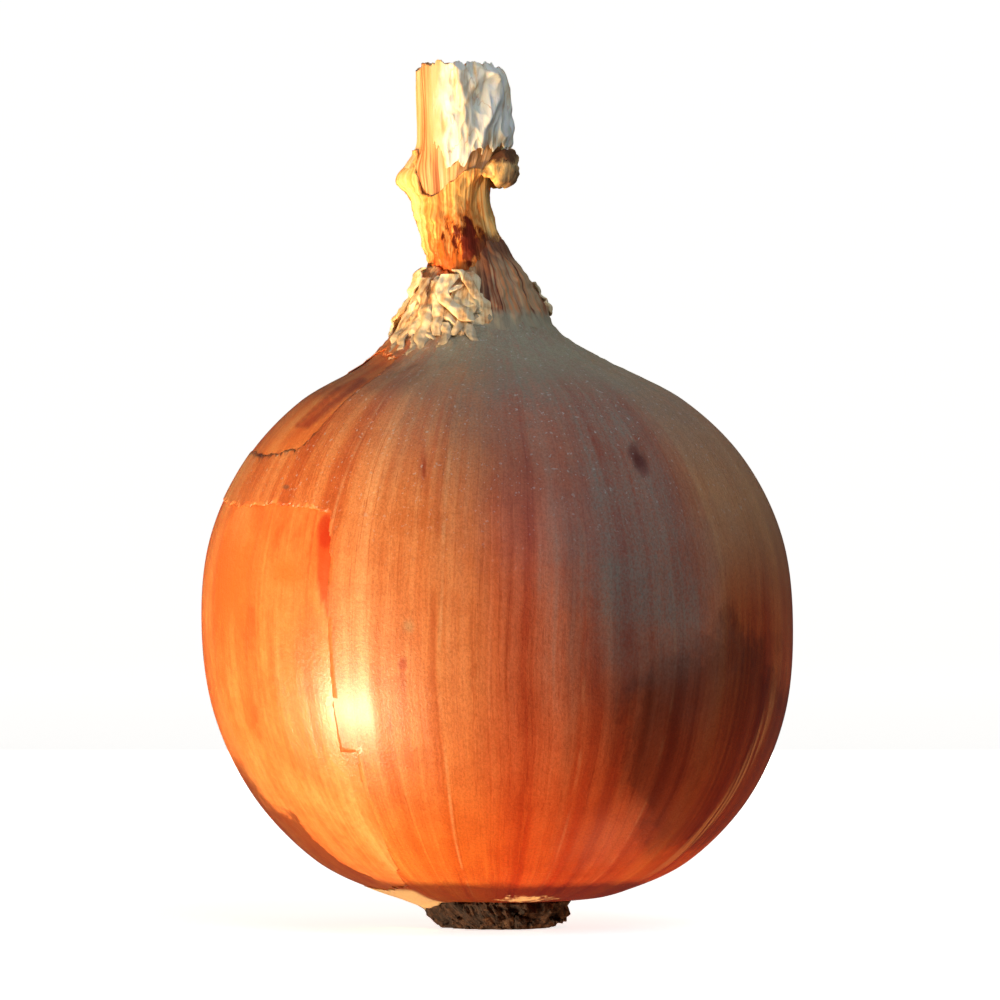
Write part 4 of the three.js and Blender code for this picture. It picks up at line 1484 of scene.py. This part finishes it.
floor = sheet_of("floor", 96, 80, sweep)
alone(floor)
bpy.ops.object.mode_set(mode="EDIT")
bpy.ops.mesh.select_all(action="SELECT")
bpy.ops.mesh.flip_normals()
bpy.ops.object.mode_set(mode="OBJECT")
floor.visible_diffuse = floor.visible_glossy = floor.visible_shadow = False
print("floor", round(max(floor.dimensions[:2]), 2), "m wide")

# %% The floor's finish
pale, w, shader, place = finish("pale_floor", 0.8)
shader.inputs["Base Color"].default_value = (0.80, 0.79, 0.77, 1)
shader.inputs["Emission Color"].default_value = (1.0, 0.99, 0.97, 1)
far = w.vector("LENGTH", place, out=1)
paler = {"Value": far, "From Min": 0.25, "From Max": 1.4, "To Min": 0.80, "To Max": 0.96}
w.feed(shader.inputs["Emission Strength"], w.put("MapRange", paler))
from_below = w.put("NewGeometry", out="Backfacing")
w.feed(shader.inputs["Alpha"], w.minus(1.0, from_below))
wear(floor, pale)

# %% The lamps
BULB_MIDDLE, BULB_FOOT, NECK_STAIN = (0, 0, 0.04), (0.016, 0, 0.02), (-0.005, 0, 0.096)


def placed(light, name, place, aim, power, colour):
    """Aim a new lamp from its place at a point, and set its power in watts and its colour."""
    light.name = name
    light.rotation_euler = (Vector(aim) - Vector(place)).to_track_quat("-Z", "Y").to_euler()
    light.data.energy = power
    light.data.color = colour
    return light


def soft_lamp(name, place, aim, size, power, colour):
    """A square soft lamp with sides of a size in metres."""
    bpy.ops.object.light_add(type="AREA", location=place)
    bpy.context.object.data.size = size
    return placed(bpy.context.object, name, place, aim, power, colour)


soft_lamp("key", (-0.366, -0.187, -0.145), BULB_MIDDLE, 0.10, 4.2, (1.0, 0.72, 0.44))
under = soft_lamp("under", (0.06, 0.0, -0.07), BULB_FOOT, 0.05, 0.16, (1.0, 0.66, 0.38))
sky = soft_lamp("sky", (0.16, -0.36, 0.34), BULB_MIDDLE, 0.4, 1.35, (0.66, 0.80, 1.0))
rear = soft_lamp("rear", (0.0, 0.70, 0.22), BULB_MIDDLE, 0.4, 2.6, (1.0, 0.88, 0.74))
under.visible_glossy = sky.visible_glossy = rear.visible_glossy = False
soft_lamp("overhead", (0, 0.3, 1.2), (0, 0.3, 0), 1.2, 2.0, (1, 1, 1))

# %% The beam on the neck
BEAM_PLACE = (-0.22, -0.27, -0.07)
bpy.ops.object.light_add(type="SPOT", location=BEAM_PLACE)
beam = placed(bpy.context.object, "beam", BEAM_PLACE, NECK_STAIN, 5.0, (1.0, 0.74, 0.44))
beam.data.spot_size, beam.data.spot_blend = math.radians(8.5), 0.6
beam.data.shadow_soft_size = 0.015

# %% The backdrop beyond the floor
GLOW, SEEN_GLOW = 0.05, 0.90
world = bpy.data.worlds.new("studio")
bpy.context.scene.world = world
world.use_nodes = True
backdrop = world.node_tree.nodes["Background"]
backdrop.inputs["Color"].default_value = (0.96, 0.96, 1.0, 1)
w = Wiring(world.node_tree)
seen = w.put("LightPath", out="Is Camera Ray")
strength = w.put("MapRange", {"Value": seen, "To Min": GLOW, "To Max": SEEN_GLOW})
w.feed(backdrop.inputs["Strength"], strength)
bpy.context.scene.view_settings.view_transform = "Standard"
